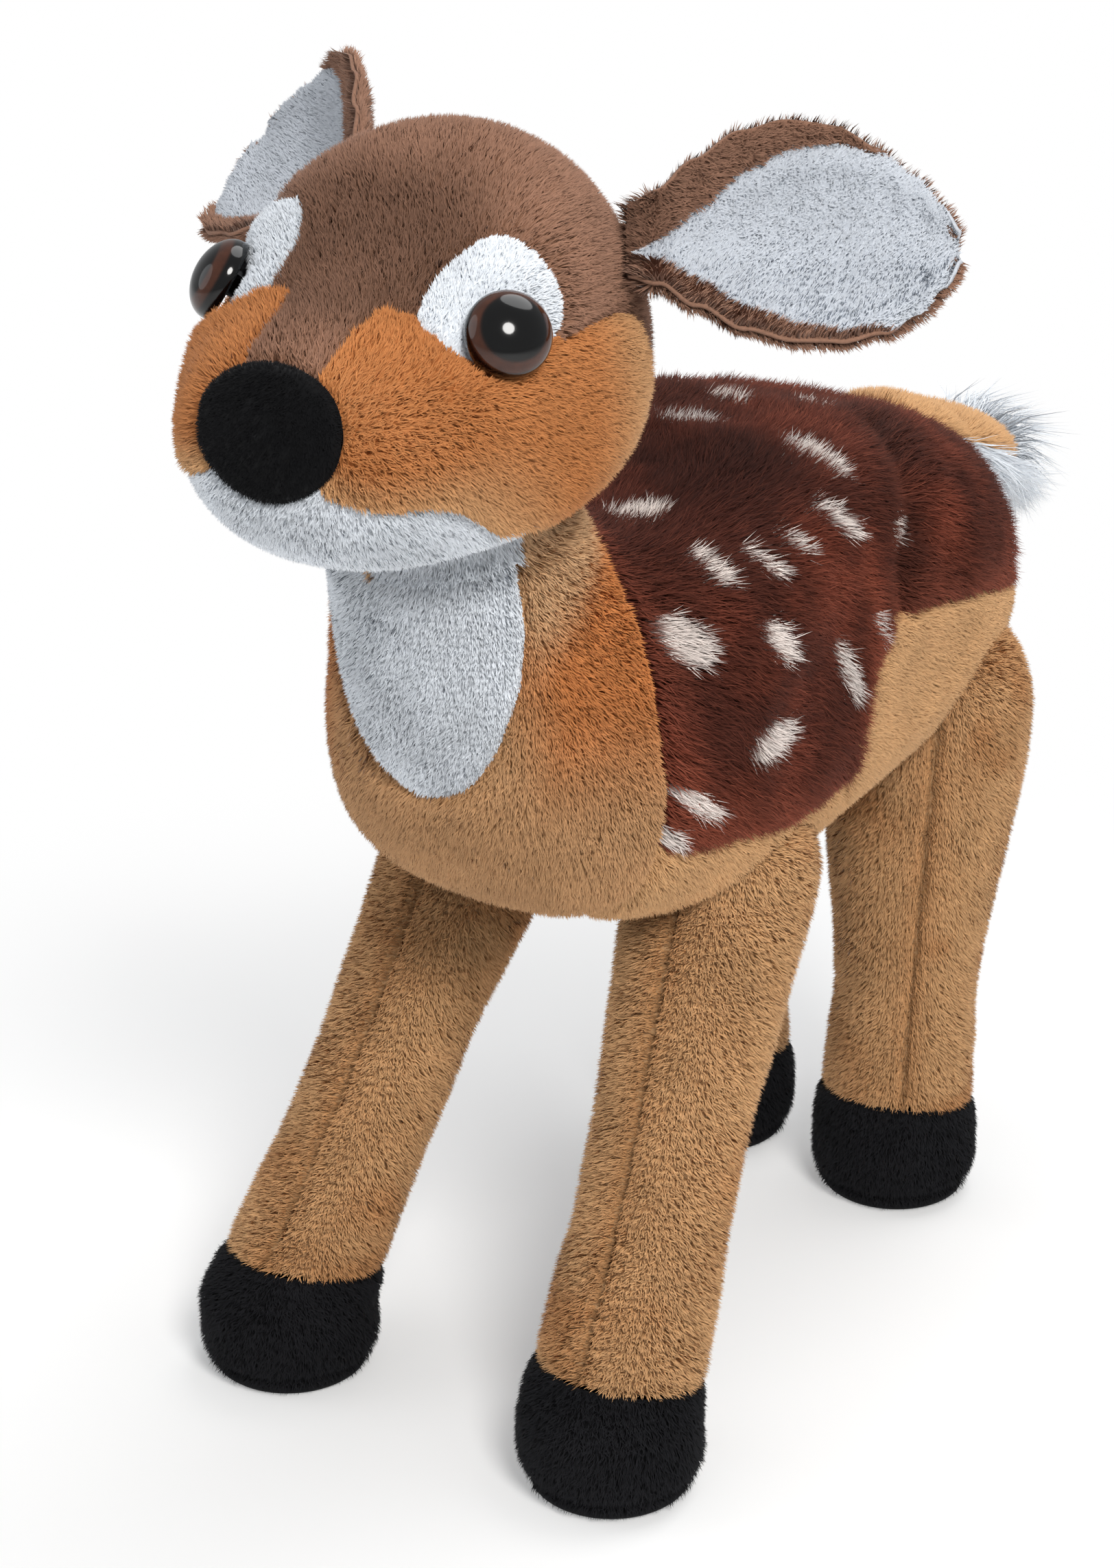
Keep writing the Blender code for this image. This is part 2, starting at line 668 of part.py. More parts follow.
def build_head(nod_marker, ear_pockets):
    """The head: stuffing, crown, cheeks, chin, white eye patches, nose, eyes and their washers."""
    form = head_form()
    stations = HEAD_STATION_SHARES
    neck_cup = as_cutter(ball("head_cup_cutter", (0.0, NECK_Y, NECK_Z), NECK_BALL_RADIUS + SEAT_GAP,
                              axis=neck_axis()))
    core = form_core("head_stuffing", form, stations, HEAD_ROUND, nod_marker)
    cut(core, [neck_cup] + ear_pockets)

    def crown_edge(s):
        return share_at(CROWN_EDGE_SHARES, s) * HALF_TURN

    def chin_edge(s):
        return share_at(CHIN_EDGE_SHARES, s) * HALF_TURN

    def patch_edges(s):
        """Upper and lower edge of the eye patch; they meet on one line beyond its ends."""
        span = (s - EYE_PATCH_START_SHARE) / (EYE_PATCH_END_SHARE - EYE_PATCH_START_SHARE)
        if span <= 0.0 or span >= 1.0:
            return crown_edge(s), crown_edge(s)
        bulge = max(math.sqrt(1.0 - (2.0 * span - 1.0) ** 2), 0.0) * EYE_PATCH_HALF_SHARE
        middle = share_at(EYE_PATCH_MID_SHARES, s)
        return (middle - bulge) * HALF_TURN, (middle + bulge) * HALF_TURN

    def half_gap(s, turn):
        return form.turn_for(s, turn, SEAM_GAP / 2.0)

    panels = []
    seam_run = SEAM_GAP / HEAD_LENGTH
    run = between(stations, 0.0, NOSE_SHARE)
    run[-1] = NOSE_SHARE - seam_run

    def crown_columns(s):
        edge = patch_edges(s)[0]
        high = edge - half_gap(s, edge)
        return spread(-high, high, CROWN_COLUMNS)

    def chin_columns(s):
        low = chin_edge(s) + half_gap(s, chin_edge(s))
        return spread(low, FULL_TURN - low, CHIN_COLUMNS)

    panels.append(panel("crown_panel", form, run, crown_columns, "crown", nod_marker))
    panels.append(panel("chin_panel", form, run, chin_columns, "white", nod_marker))
    patch_run = between(stations, EYE_PATCH_START_SHARE + seam_run, EYE_PATCH_END_SHARE - seam_run)
    eyes = []
    for side, label in ((1.0, "left"), (-1.0, "right")):
        def cheek_columns(s, side=side):
            top, low = patch_edges(s)[1], chin_edge(s)
            return [side * t for t in spread(top + half_gap(s, top), low - half_gap(s, low), CHEEK_COLUMNS)]

        def patch_columns(s, side=side):
            top, low = patch_edges(s)
            return [side * t for t in spread(top + half_gap(s, top), low - half_gap(s, low), PATCH_COLUMNS)]

        seat, out = eye_seat(form, side)
        well_floor = -EYE_SINK - SEAT_GAP
        well = as_cutter(turned("eye_well_cutter_" + label, seat, out, (
            (EYE_SHANK_RADIUS + EYE_HOLE_EASE, -EYE_SHANK_LENGTH - EYE_SINK - SEAT_GAP),
            (EYE_SHANK_RADIUS + EYE_HOLE_EASE, well_floor),
            (EYE_RADIUS + EYE_HOLE_EASE, well_floor),
            (EYE_RADIUS + EYE_HOLE_EASE, EYE_DOME))))
        room_floor = -WASHER_DEPTH - WASHER_THICKNESS - SEAT_GAP
        washer_room = as_cutter(turned("washer_room_cutter_" + label, seat, out, (
            (EYE_SHANK_RADIUS + EYE_HOLE_EASE, -EYE_SHANK_LENGTH - EYE_SINK - SEAT_GAP),
            (EYE_SHANK_RADIUS + EYE_HOLE_EASE, room_floor),
            (WASHER_RADIUS + EYE_HOLE_EASE, room_floor),
            (WASHER_RADIUS + EYE_HOLE_EASE, EYE_DOME))))
        cheek = panel("cheek_" + label, form, run, cheek_columns, "cheek", nod_marker)
        patch = panel("eye_patch_" + label, form, patch_run, patch_columns, "white", nod_marker)
        for item in (cheek, patch, panels[0]):
            cut(item, [well])
        cut(core, [washer_room])
        panels.extend((cheek, patch))
        profile = [(EYE_SHANK_RADIUS, -EYE_SHANK_LENGTH - EYE_SINK), (EYE_SHANK_RADIUS, -EYE_SINK),
                   (EYE_RADIUS, -EYE_SINK)]
        for rise, width in EYE_DOME_SHARES:
            profile.append((EYE_RADIUS * width, EYE_DOME * rise))
        eyes.append(turned("eye_" + label, seat, out, profile, "eye", nod_marker))
        washer = turned("eye_washer_" + label, seat, out, (
            (WASHER_RADIUS, -WASHER_DEPTH - WASHER_THICKNESS), (WASHER_RADIUS, -WASHER_DEPTH)),
            "washer", nod_marker)
        shank_hole = as_cutter(turned("washer_hole_cutter_" + label, seat, out, (
            (EYE_SHANK_RADIUS + EYE_HOLE_EASE, -WASHER_DEPTH - 2.0 * WASHER_THICKNESS),
            (EYE_SHANK_RADIUS + EYE_HOLE_EASE, -WASHER_DEPTH + WASHER_THICKNESS))))
        cut(washer, [shank_hole])
    for item in panels:
        cut(item, ear_pockets)

    nose_run = between(stations, NOSE_SHARE, 1.0)
    nose_run[0] = NOSE_SHARE + seam_run
    around = HEAD_ROUND
    outer = [[form.point(s, FULL_TURN * k / around, 0.0) for k in range(around)] for s in nose_run]
    inner = [[form.point(s, FULL_TURN * k / around, FABRIC) for k in range(around)] for s in nose_run]
    back, belly, _ = form.section(1.0)
    tip = (back + belly) / 2.0
    ahead = np.array([0.0, -1.0, 0.0])
    cap_shell("nose_pad", outer, inner, tip + ahead * FABRIC, tip + ahead * 0.0, "black", nod_marker)
    return form


def cap_shell(name, outer, inner, outer_tip, inner_tip, finish, parent):
    """A cup of fabric: rings closed by a tip on both faces and left open at the other end."""
    around = len(outer[0])
    points = [p for ring in outer for p in ring] + [p for ring in inner for p in ring]
    start = len(outer) * around
    faces = []
    for layer in (0, start):
        for i in range(len(outer) - 1):
            for j in range(around):
                a, b = layer + i * around + j, layer + i * around + (j + 1) % around
                faces.append([a, b, b + around, a + around])
    for j in range(around):
        a, b = j, (j + 1) % around
        faces.append([a, b, start + b, start + a])
    for layer, tip in ((0, outer_tip), (start, inner_tip)):
        points.append(tip)
        edge = layer + (len(outer) - 1) * around
        faces.extend([edge + j, edge + (j + 1) % around, len(points) - 1] for j in range(around))
    return add_mesh(name, points, faces, finish, parent)


class Leg:
    """A leg from its hip ball down to the ground, as level rings about a slanting middle line."""

    def __init__(self, hip, foot, ball_radius, thigh):
        self.hip = np.array(hip)
        self.foot = np.array(foot)
        self.ball_radius = ball_radius
        self.thigh = thigh

    def middle(self, z):
        """The middle line slants from the hip and comes down upright over the hoof."""
        share = min(max((self.hip[2] - z) / (self.hip[2] - HOOF_FALL), 0.0), 1.0)
        place = self.hip + (self.foot - self.hip) * share
        return place[0], place[1]

    def radius(self, z):
        if z >= HOOF_HEIGHT:
            share = (self.hip[2] - z) / (self.hip[2] - HOOF_HEIGHT)
            body = share_at(LEG_SECTION_SHARES, share) * LEG_RADIUS
            near = max(1.0 - (self.hip[2] - z) / self.thigh, 0.0)
            blend = near * near * (3.0 - 2.0 * near)
            return body + (self.ball_radius - body) * blend
        return share_at(HOOF_SECTION_SHARES, (HOOF_HEIGHT - z) / HOOF_HEIGHT) * HOOF_RADIUS

    def ring(self, z, depth):
        x, y = self.middle(z)
        reach = self.radius(z) - depth
        return [np.array([x + reach * math.cos(FULL_TURN * k / LEG_ROUND),
                          y + reach * math.sin(FULL_TURN * k / LEG_ROUND), z]) for k in range(LEG_ROUND)]

    def ball_rings(self, depth):
        """Level rings of the upper half of the hip ball, from near its top down to its middle."""
        radius = self.ball_radius - depth
        rings = []
        for k in range(1, HIP_RINGS):
            angle = 0.5 * HALF_TURN * k / HIP_RINGS
            rings.append([self.hip + np.array([
                radius * math.sin(angle) * math.cos(FULL_TURN * j / LEG_ROUND),
                radius * math.sin(angle) * math.sin(FULL_TURN * j / LEG_ROUND),
                radius * math.cos(angle)]) for j in range(LEG_ROUND)])
        return rings

    def top(self, depth):
        return self.hip + np.array([0.0, 0.0, self.ball_radius - depth])

    def socket_points(self):
        """The hip ball and the upper leg, grown by the clearance that the swing needs."""
        points = [p for ring in self.ball_rings(-SWING_GAP) for p in ring] + [self.top(-SWING_GAP)]
        for fall in spread(0.0, LEG_SOCKET_REACH, SOCKET_RINGS):
            points.extend(self.ring(self.hip[2] - fall, -SWING_GAP))
        return points


def build_leg(label, leg, marker):
    """One leg: stuffing, sewn sleeve, hoof and sole."""
    seam_z = HOOF_HEIGHT
    levels = spread(leg.hip[2], seam_z + SEAM_GAP / 2.0, LEG_RINGS)
    core_depth = FABRIC + SEAT_GAP
    rings = leg.ball_rings(core_depth) + [leg.ring(z, core_depth) for z in levels]
    hoof_levels = spread(seam_z - SEAM_GAP / 2.0, SOLE_THICKNESS + SEAT_GAP, HOOF_RINGS)
    rings += [leg.ring(z, core_depth) for z in hoof_levels]
    ring_solid("leg_%s_stuffing" % label, rings, "stuffing", marker, point_start=leg.top(core_depth))
    outer = leg.ball_rings(0.0) + [leg.ring(z, 0.0) for z in levels]
    inner = leg.ball_rings(FABRIC) + [leg.ring(z, FABRIC) for z in levels]
    cap_shell("leg_%s_sleeve" % label, outer[::-1], inner[::-1], leg.top(0.0), leg.top(FABRIC), "tan", marker)
    outer = [leg.ring(z, 0.0) for z in hoof_levels]
    inner = [leg.ring(z, FABRIC) for z in hoof_levels]
    grid_shell("hoof_" + label, outer, inner, lambda i, j: True, True, "black", marker)
    sole = [leg.ring(SOLE_THICKNESS, 0.0), leg.ring(SOLE_EDGE, 0.0), leg.ring(0.0, SOLE_EDGE)]
    ring_solid("sole_" + label, sole, "black", marker)


def ear_axes(side):
    """The ear's own directions: along it, across it and out of its lining."""
    along = np.array([side * math.cos(EAR_SWEEP) * math.cos(EAR_RISE),
                      math.sin(EAR_SWEEP) * math.cos(EAR_RISE), math.sin(EAR_RISE)])
    upright = np.array([side * math.sin(EAR_SWEEP), -math.cos(EAR_SWEEP), 0.0])
    upwards = np.cross(upright, along) * side
    across = upwards * math.cos(EAR_LEAN) - upright * math.sin(EAR_LEAN)
    facing = upright * math.cos(EAR_LEAN) + upwards * math.sin(EAR_LEAN)
    return along, across, facing


def ear_point(side, along_share, across_share, depth, width_share=1.0):
    """A point of the cupped ear; depth grows towards its back."""
    along, across, facing = ear_axes(side)
    root = np.array([side * EAR_ROOT_X, EAR_ROOT_Y, EAR_ROOT_Z])
    half = 0.5 * EAR_WIDTH * share_at(EAR_OUTLINE_SHARES, along_share) * width_share
    place = min(along_share + EAR_CUP_START_SHARE, 1.0) / (1.0 + EAR_CUP_START_SHARE)
    cup = EAR_CUP * (across_share * width_share) ** 2 * math.sin(HALF_TURN * place)
    return root + along * along_share * EAR_LENGTH + across * half * across_share + facing * (cup - depth)


def ear_root_points(side):
    """The ear's sewn end, grown by the clearance that the flap needs."""
    along, across, facing = ear_axes(side)
    points = []
    share = EAR_ROOT_DEPTH / EAR_LENGTH
    for along_share in spread(0.0, share, 2):
        for across_share in spread(-1.0, 1.0, 4):
            for depth in (-EAR_FABRIC - EAR_SEAM - SWING_GAP, EAR_FABRIC + SWING_GAP):
                grow = across * math.copysign(SWING_GAP, across_share) - along * SWING_GAP
                points.append(ear_point(side, along_share, across_share, depth) + grow)
    return points


def ear_hinge_axis(side):
    return ear_axes(side)[1]


def build_ear(side, label, marker):
    """An ear: the dark back and the white lining that is sewn inside its rim."""
    places = [row[0] for row in EAR_OUTLINE_SHARES]
    across = spread(-1.0, 1.0, EAR_COLUMNS)
    back_outer = [[ear_point(side, s, t, EAR_FABRIC) for t in across] for s in places]
    back_inner = [[ear_point(side, s, t, 0.0) for t in across] for s in places]
    grid_shell("ear_back_" + label, back_outer, back_inner, lambda i, j: True, False, "crown", marker)
    shares = [EAR_LINING_SHARE * s + (1.0 - EAR_LINING_SHARE) * EAR_LINING_CENTRE_SHARE for s in places]
    lining_outer = [[ear_point(side, s, t, -EAR_SEAM - EAR_FABRIC, EAR_LINING_SHARE) for t in across] for s in shares]
    lining_inner = [[ear_point(side, s, t, -EAR_SEAM, EAR_LINING_SHARE) for t in across] for s in shares]
    grid_shell("ear_lining_" + label, lining_outer, lining_inner, lambda i, j: True, False, "white", marker)


def tail_point(along_share, turn, upper):
    """A point of the tail, a flat drop; its top and underside meet at a seam round the edge."""
    along = np.array([0.0, math.cos(TAIL_DROP), -math.sin(TAIL_DROP)])
    out = np.array([0.0, math.sin(TAIL_DROP), math.cos(TAIL_DROP)])
    width = share_at(TAIL_OUTLINE_SHARES, along_share)
    half, thick = TAIL_HALF_WIDTH * width, 0.5 * TAIL_THICKNESS * math.sqrt(width)
    sign = 1.0 if upper else -1.0
    root = np.array([0.0, TAIL_ROOT_Y, TAIL_ROOT_Z])
    lift = sign * (SEAT_GAP / 2.0 + thick * math.sin(turn))
    return root + along * TAIL_LENGTH * along_share + np.array([half * math.cos(turn), 0.0, 0.0]) + out * lift


def build_tail(marker):
    """The tail: a tan top and a white underside, sewn round the edge."""
    places = spread(0.0, 1.0, TAIL_RINGS)
    turns = spread(0.0, HALF_TURN, TAIL_COLUMNS)
    for upper, name, finish in ((True, "tail_top", "tan"), (False, "tail_underside", "white")):
        rings = [[tail_point(s, t, upper) for t in turns] for s in places]
        ring_solid(name, rings, finish, marker)


def tail_root_points():
    """The tail's sewn end, grown by the clearance that the lift needs."""
    share = TAIL_SOCKET_REACH / TAIL_LENGTH
    points = []
    for along_share in spread(0.0, share, 2):
        for turn in spread(0.0, HALF_TURN, TAIL_COLUMNS):
            for upper in (True, False):
                sign = 1.0 if upper else -1.0
                grow = np.array([math.cos(turn), -1.0, sign * math.sin(turn)]) * TAIL_EASE
                points.append(tail_point(along_share, turn, upper) + grow)
    return points


def legs():
    """Each leg's label, shape and side."""
    made = []
    for side, side_name in ((1.0, "left"), (-1.0, "right")):
        made.append(("front_" + side_name, Leg(
            (side * FRONT_HIP_X, FRONT_HIP_Y, FRONT_HIP_Z), (side * FRONT_FOOT_X, FRONT_FOOT_Y, HOOF_FALL),
            FRONT_BALL_RADIUS, FRONT_THIGH)))
        made.append(("rear_" + side_name, Leg(
            (side * REAR_HIP_X, REAR_HIP_Y, REAR_HIP_Z), (side * REAR_FOOT_X, REAR_FOOT_Y, HOOF_FALL),
            REAR_BALL_RADIUS, REAR_THIGH)))
    return made


def stand_on_origin(root):
    """Hang everything under the root and move it until the box of the fawn stands on the origin."""
    lowest, highest = [], []
    solids = [item for item in bpy.data.objects if item.type == "MESH"]
    for item in solids:
        if item.parent is None:
            item.parent = root
    bpy.context.view_layer.update()
    for item in solids:
        if not item.hide_render:
            reach = [item.matrix_world @ v.co for v in item.data.vertices]
            lowest.append([min(p[axis] for p in reach) for axis in range(3)])
            highest.append([max(p[axis] for p in reach) for axis in range(3)])
    low, high = np.min(lowest, axis=0), np.max(highest, axis=0)
    root.location = (-(low[0] + high[0]) / 2.0, -(low[1] + high[1]) / 2.0, -low[2])


def main():
    clear_scene()
    root = empty("fawn", (0.0, 0.0, 0.0))
    sockets = []
    for label, leg in legs():
        marker = empty("leg_%s_swing" % label, tuple(leg.hip), root)
        build_leg(label, leg, marker)
        sockets.append(swept_cutter("socket_cutter_" + label, leg.socket_points(), leg.hip, (1.0, 0.0, 0.0),
                                    -LEG_SWING, LEG_SWING))
    tail_marker = empty("tail_lift", (0.0, TAIL_ROOT_Y, TAIL_ROOT_Z), root)
    build_tail(tail_marker)
    sockets.append(swept_cutter("tail_socket_cutter", tail_root_points(), (0.0, TAIL_ROOT_Y, TAIL_ROOT_Z),
                                (1.0, 0.0, 0.0), -TAIL_TUCK, TAIL_LIFT))
    build_torso(root, sockets)
    turn_marker = empty("head_turn", (0.0, NECK_Y, NECK_Z), root)
    build_neck(turn_marker)
    nod_marker = empty("head_nod", (0.0, NECK_Y, NECK_Z), turn_marker)
    pockets = []
    for side, label in ((1.0, "left"), (-1.0, "right")):
        hinge = (side * EAR_ROOT_X, EAR_ROOT_Y, EAR_ROOT_Z)
        marker = empty("ear_%s_flap" % label, hinge, nod_marker)
        build_ear(side, label, marker)
        pockets.append(swept_cutter("ear_pocket_cutter_" + label, ear_root_points(side), hinge,
                                    ear_hinge_axis(side), -EAR_FLAP_FORWARD, EAR_FLAP_BACK))
    build_head(nod_marker, pockets)
    stand_on_origin(root)


main()
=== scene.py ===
import json
import math

import bpy
import numpy as np
from mathutils import Matrix, Vector
from mathutils.bvhtree import BVHTree


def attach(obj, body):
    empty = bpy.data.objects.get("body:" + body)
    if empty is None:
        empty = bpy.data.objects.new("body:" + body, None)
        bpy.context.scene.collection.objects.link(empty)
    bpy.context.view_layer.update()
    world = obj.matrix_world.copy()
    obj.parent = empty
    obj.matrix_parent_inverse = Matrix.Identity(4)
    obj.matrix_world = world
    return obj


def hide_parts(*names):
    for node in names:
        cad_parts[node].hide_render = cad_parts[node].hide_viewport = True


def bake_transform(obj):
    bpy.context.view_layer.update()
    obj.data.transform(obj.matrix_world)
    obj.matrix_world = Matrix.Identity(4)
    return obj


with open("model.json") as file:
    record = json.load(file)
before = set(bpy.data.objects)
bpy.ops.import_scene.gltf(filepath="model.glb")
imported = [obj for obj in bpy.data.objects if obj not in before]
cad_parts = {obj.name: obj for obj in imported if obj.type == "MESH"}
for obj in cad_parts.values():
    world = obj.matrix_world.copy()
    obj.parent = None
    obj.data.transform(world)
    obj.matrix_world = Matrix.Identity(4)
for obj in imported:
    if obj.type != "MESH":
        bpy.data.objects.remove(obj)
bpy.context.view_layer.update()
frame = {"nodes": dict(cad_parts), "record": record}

PI = math.pi
SIDES = ((1.0, "left"), (-1.0, "right"))
ASIDE, REARWARD, UP = np.eye(3)
DOWN = np.array([0.0, 0.0, -1.0])
FAR = 9.0   # a distance that stands for no seam near

# The sizes of part.py that the coats follow, in metres
NECK = np.array([0.0, -0.0745, 0.2190])
JOINTS = {j["name"]: j for j in frame["record"]["behaviour"]["joints"]}
SHIFT_Y = JOINTS["head_turn"]["pos_m"][1] - NECK[1]
SHIFT = np.array([0.0, SHIFT_Y, 0.0])
NECK_LEAN = math.radians(12.0)
NECK_AXIS = np.array([0.0, -math.sin(NECK_LEAN), math.cos(NECK_LEAN)])
NECK_BACK = np.array([0.0, math.cos(NECK_LEAN), math.sin(NECK_LEAN)])
NECK_RIM = 0.0260
NECK_HALF_GAP = 0.0045
TORSO = dict(length=0.2240, rear=0.1160, height=0.1040, floor=0.1130, half=0.0530, square=3.0)
HEAD = dict(length=0.1030, rear=-0.0330, height=0.0850, floor=0.2145, half=0.0430, square=2.15)
TORSO_ROWS = (
    (0.015, 0.700, 0.030, 0.340, 0.50), (0.080, 0.815, 0.060, 0.185, 0.80),
    (0.200, 0.920, 0.180, 0.090, 0.94), (0.350, 0.990, 0.345, 0.040, 0.97),
    (0.490, 1.000, 0.490, 0.010, 0.98), (0.595, 0.965, 0.605, 0.000, 1.00),
    (0.655, 0.940, 0.690, 0.030, 0.97), (0.690, 0.940, 0.800, 0.115, 0.87),
    (0.706, 0.955, 0.884, 0.330, 0.70), (0.718, 0.985, 0.922, 0.610, 0.58))
HEAD_ROWS = (
    (0.030, 0.300, 0.700, 0.035, 0.84), (0.000, 0.500, 0.765, 0.030, 0.97),
    (0.040, 0.715, 0.815, 0.035, 1.00), (0.160, 0.900, 0.865, 0.055, 0.99),
    (0.330, 0.995, 0.905, 0.080, 0.96), (0.500, 0.940, 0.940, 0.110, 0.89),
    (0.640, 0.800, 0.965, 0.145, 0.79), (0.760, 0.690, 0.985, 0.185, 0.68),
    (0.860, 0.630, 1.000, 0.225, 0.57), (0.945, 0.570, 1.010, 0.280, 0.42),
    (0.995, 0.490, 1.020, 0.350, 0.22))
EYE = dict(radius=0.0088, rise=0.0062, sink=0.0012, along=0.560, around=0.408, hole=0.0084)
EAR = dict(length=0.0670, width=0.0500, cup=0.0110, root=(0.0344, -0.05896, 0.27502),
           sweep=math.radians(36.0), rise=math.radians(-1.0), lean=math.radians(42.0), start=0.15)
EAR_OUTLINE = (
    (0.0, 0.32), (0.09, 0.42), (0.20, 0.66), (0.34, 0.90), (0.48, 1.00), (0.62, 0.98), (0.76, 0.84),
    (0.87, 0.63), (0.95, 0.37), (1.0, 0.12))
LEG_RADIUS, HOOF_RADIUS, HOOF_HEIGHT, HOOF_FALL = 0.0185, 0.0195, 0.0260, 0.0180
LEG_SHARES = ((0.0, 1.00), (0.34, 0.96), (0.54, 0.92), (0.72, 0.92), (0.88, 0.97), (1.0, 1.00))
HOOF_SHARES = ((0.0, 1.00), (0.30, 1.03), (0.62, 1.04), (0.86, 1.00), (1.0, 0.95))
LEGS = {"front": ((0.0325, -0.0135, 0.1230), (0.0455, -0.0786), 0.0208, 0.0500),
        "rear": ((0.0300, 0.0830, 0.1330), (0.0273, 0.0786), 0.0248, 0.0840)}
TAIL = dict(length=0.0680, half=0.0200, thick=0.0170, root=(0.0, 0.0960, 0.1960), drop=math.radians(22.0))
TAIL_OUTLINE = (
    (0.0, 0.42), (0.12, 0.62), (0.30, 0.84), (0.52, 1.0), (0.72, 0.95), (0.88, 0.68), (1.0, 0.22))

# The sewing pattern: s is the share along a stuffed form, u the share of the half turn from its top to its
# underside. The chest's seam gives s for u, the other seams give u for s.
CHEST_LINE = ((0.0, 0.93), (0.25, 0.925), (0.31, 0.885), (0.361, 0.823), (0.444, 0.783), (0.578, 0.739),
              (0.667, 0.724), (0.76, 0.71), (1.0, 0.70))
COVER_EDGE = (
    (0.0, 0.60), (0.10, 0.575), (0.204, 0.528), (0.311, 0.472), (0.371, 0.461), (0.391, 0.456),
    (0.408, 0.489), (0.425, 0.539), (0.435, 0.66), (0.50, 0.655), (0.632, 0.640), (0.726, 0.667),
    (1.0, 0.667))
BELLY_EDGE = ((0.0, 0.82), (0.24, 0.84), (0.36, 0.87), (1.0, 0.87))
BIB_LOW = 0.850
BIB_HALF = (
    (0.850, 0.0), (0.8503, 0.03), (0.852, 0.065), (0.856, 0.10), (0.863, 0.135), (0.8825, 0.20),
    (0.916, 0.295), (0.9525, 0.36), (1.0, 0.39))
NOSE_EDGE = ((0.0, 0.888), (0.25, 0.893), (0.50, 0.903), (0.75, 0.885), (1.0, 0.855))
CROWN_EDGE = (
    (0.0, 0.32), (0.20, 0.33), (0.301, 0.35), (0.371, 0.411), (0.428, 0.456), (0.47, 0.44), (0.60, 0.30),
    (0.696, 0.206), (0.722, 0.125), (0.783, 0.117), (0.849, 0.144), (0.905, 0.17))
CHIN_EDGE = ((0.0, 0.61), (0.10, 0.665), (0.22, 0.735), (0.585, 0.722), (0.79, 0.744), (0.905, 0.77))
PATCH = ((0.696, 0.206), (0.635, 0.178), (0.562, 0.222), (0.497, 0.325), (0.450, 0.410), (0.452, 0.455),
         (0.500, 0.478), (0.560, 0.462), (0.618, 0.402), (0.676, 0.315))
FOLD = ((0.14, 0.315), (0.211, 0.334), (0.30, 0.355), (0.361, 0.371), (0.46, 0.385))
SOLE_SEAM = 0.0052
LINING_SHARES = (
    (0.0, 0.0), (0.04, 0.08), (0.14, 0.42), (0.3, 0.67), (0.5, 0.83), (0.75, 0.97), (0.88, 1.04),
    (1.0, 1.04))
TORSO_RUN, TORSO_GIRTH = 0.246, 0.150   # metres for a share along the torso and a half turn round it
HEAD_RUN, HEAD_GIRTH = 0.118, 0.125

# Pile colours, linear
TAN = np.array([0.655, 0.385, 0.190])
CHEST_TAN = np.array([0.585, 0.220, 0.072])
RUST = np.array([0.460, 0.190, 0.065])
NECK_TAN = np.array([0.680, 0.420, 0.230])
# The ears' lining: the white pile darkened as painted shade of the ear's hollow
SHADED_LINING_WHITE = np.array([0.600, 0.635, 0.690])
CHEEK = np.array([0.540, 0.215, 0.074])
CROWN = np.array([0.300, 0.162, 0.108])
COVER_DARK = np.array([0.030, 0.0058, 0.0034])
COVER_MID = np.array([0.128, 0.023, 0.0105])
COVER_TIP = np.array([0.340, 0.098, 0.057])
CREAM = np.array([0.780, 0.690, 0.640])
CHEST_LOW = np.array([0.560, 0.320, 0.160])
WHITE = np.array([0.835, 0.875, 0.925])
BLACK = np.array([0.0065, 0.0065, 0.0075])
PUPIL, IRIS = np.array([0.0012, 0.0011, 0.0011]), np.array([0.050, 0.016, 0.008])

# Spots of the cover, on the fawn's left side: both ends and the width, in millimetres
SPOTS = (
    (-3.5, 13.0, 217.2, 7.5, 20.3, 217.1, 4.4), (-5.7, 36.7, 216.0, 5.0, 35.5, 216.2, 2.6),
    (6.0, 58.0, 214.0, 19.8, 50.1, 212.8, 3.6), (26.0, 18.1, 215.0, 42.0, 23.1, 205.6, 5.0),
    (40.5, 4.8, 207.2, 49.0, 18.7, 193.8, 3.9), (39.5, -12.4, 206.2, 49.1, -1.5, 194.1, 1.9),
    (39.0, -22.5, 204.6, 48.5, -14.0, 195.0, 2.5), (33.4, -32.8, 205.2, 43.9, -30.8, 197.5, 3.6),
    (14.8, -36.4, 210.0, 24.2, -26.4, 209.8, 4.4), (38.2, -48.8, 193.4, 46.3, -43.7, 183.5, 7.6),
    (49.3, -27.6, 189.3, 52.7, -16.2, 176.3, 4.8), (52.0, 3.7, 174.5, 51.7, 12.4, 159.7, 3.7),
    (51.6, 18.6, 177.2, 51.7, 23.2, 169.6, 2.2), (52.0, -31.4, 161.9, 53.0, -16.3, 160.0, 6.8),
    (47.0, 39.7, 196.4, 49.9, 38.4, 187.9, 5.4), (45.9, -53.7, 156.8, 49.1, -43.0, 149.1, 4.2),
    (43.8, -56.9, 147.6, 45.4, -51.3, 143.1, 3.0), (25.0, -57.4, 210.8, 26.9, -56.9, 207.3, 2.2))

# How much darker a fibre is at its root: painted shade deep in the pile
TORSO_ROOT_SHADE, HEAD_ROOT_SHADE, WHITE_ROOT_SHADE = np.array([0.90, 0.82, 0.70]), np.array([0.90, 0.82, 0.72]), 0.95
WHITE_PANELS = ("belly", "bib", "chin", "patch")

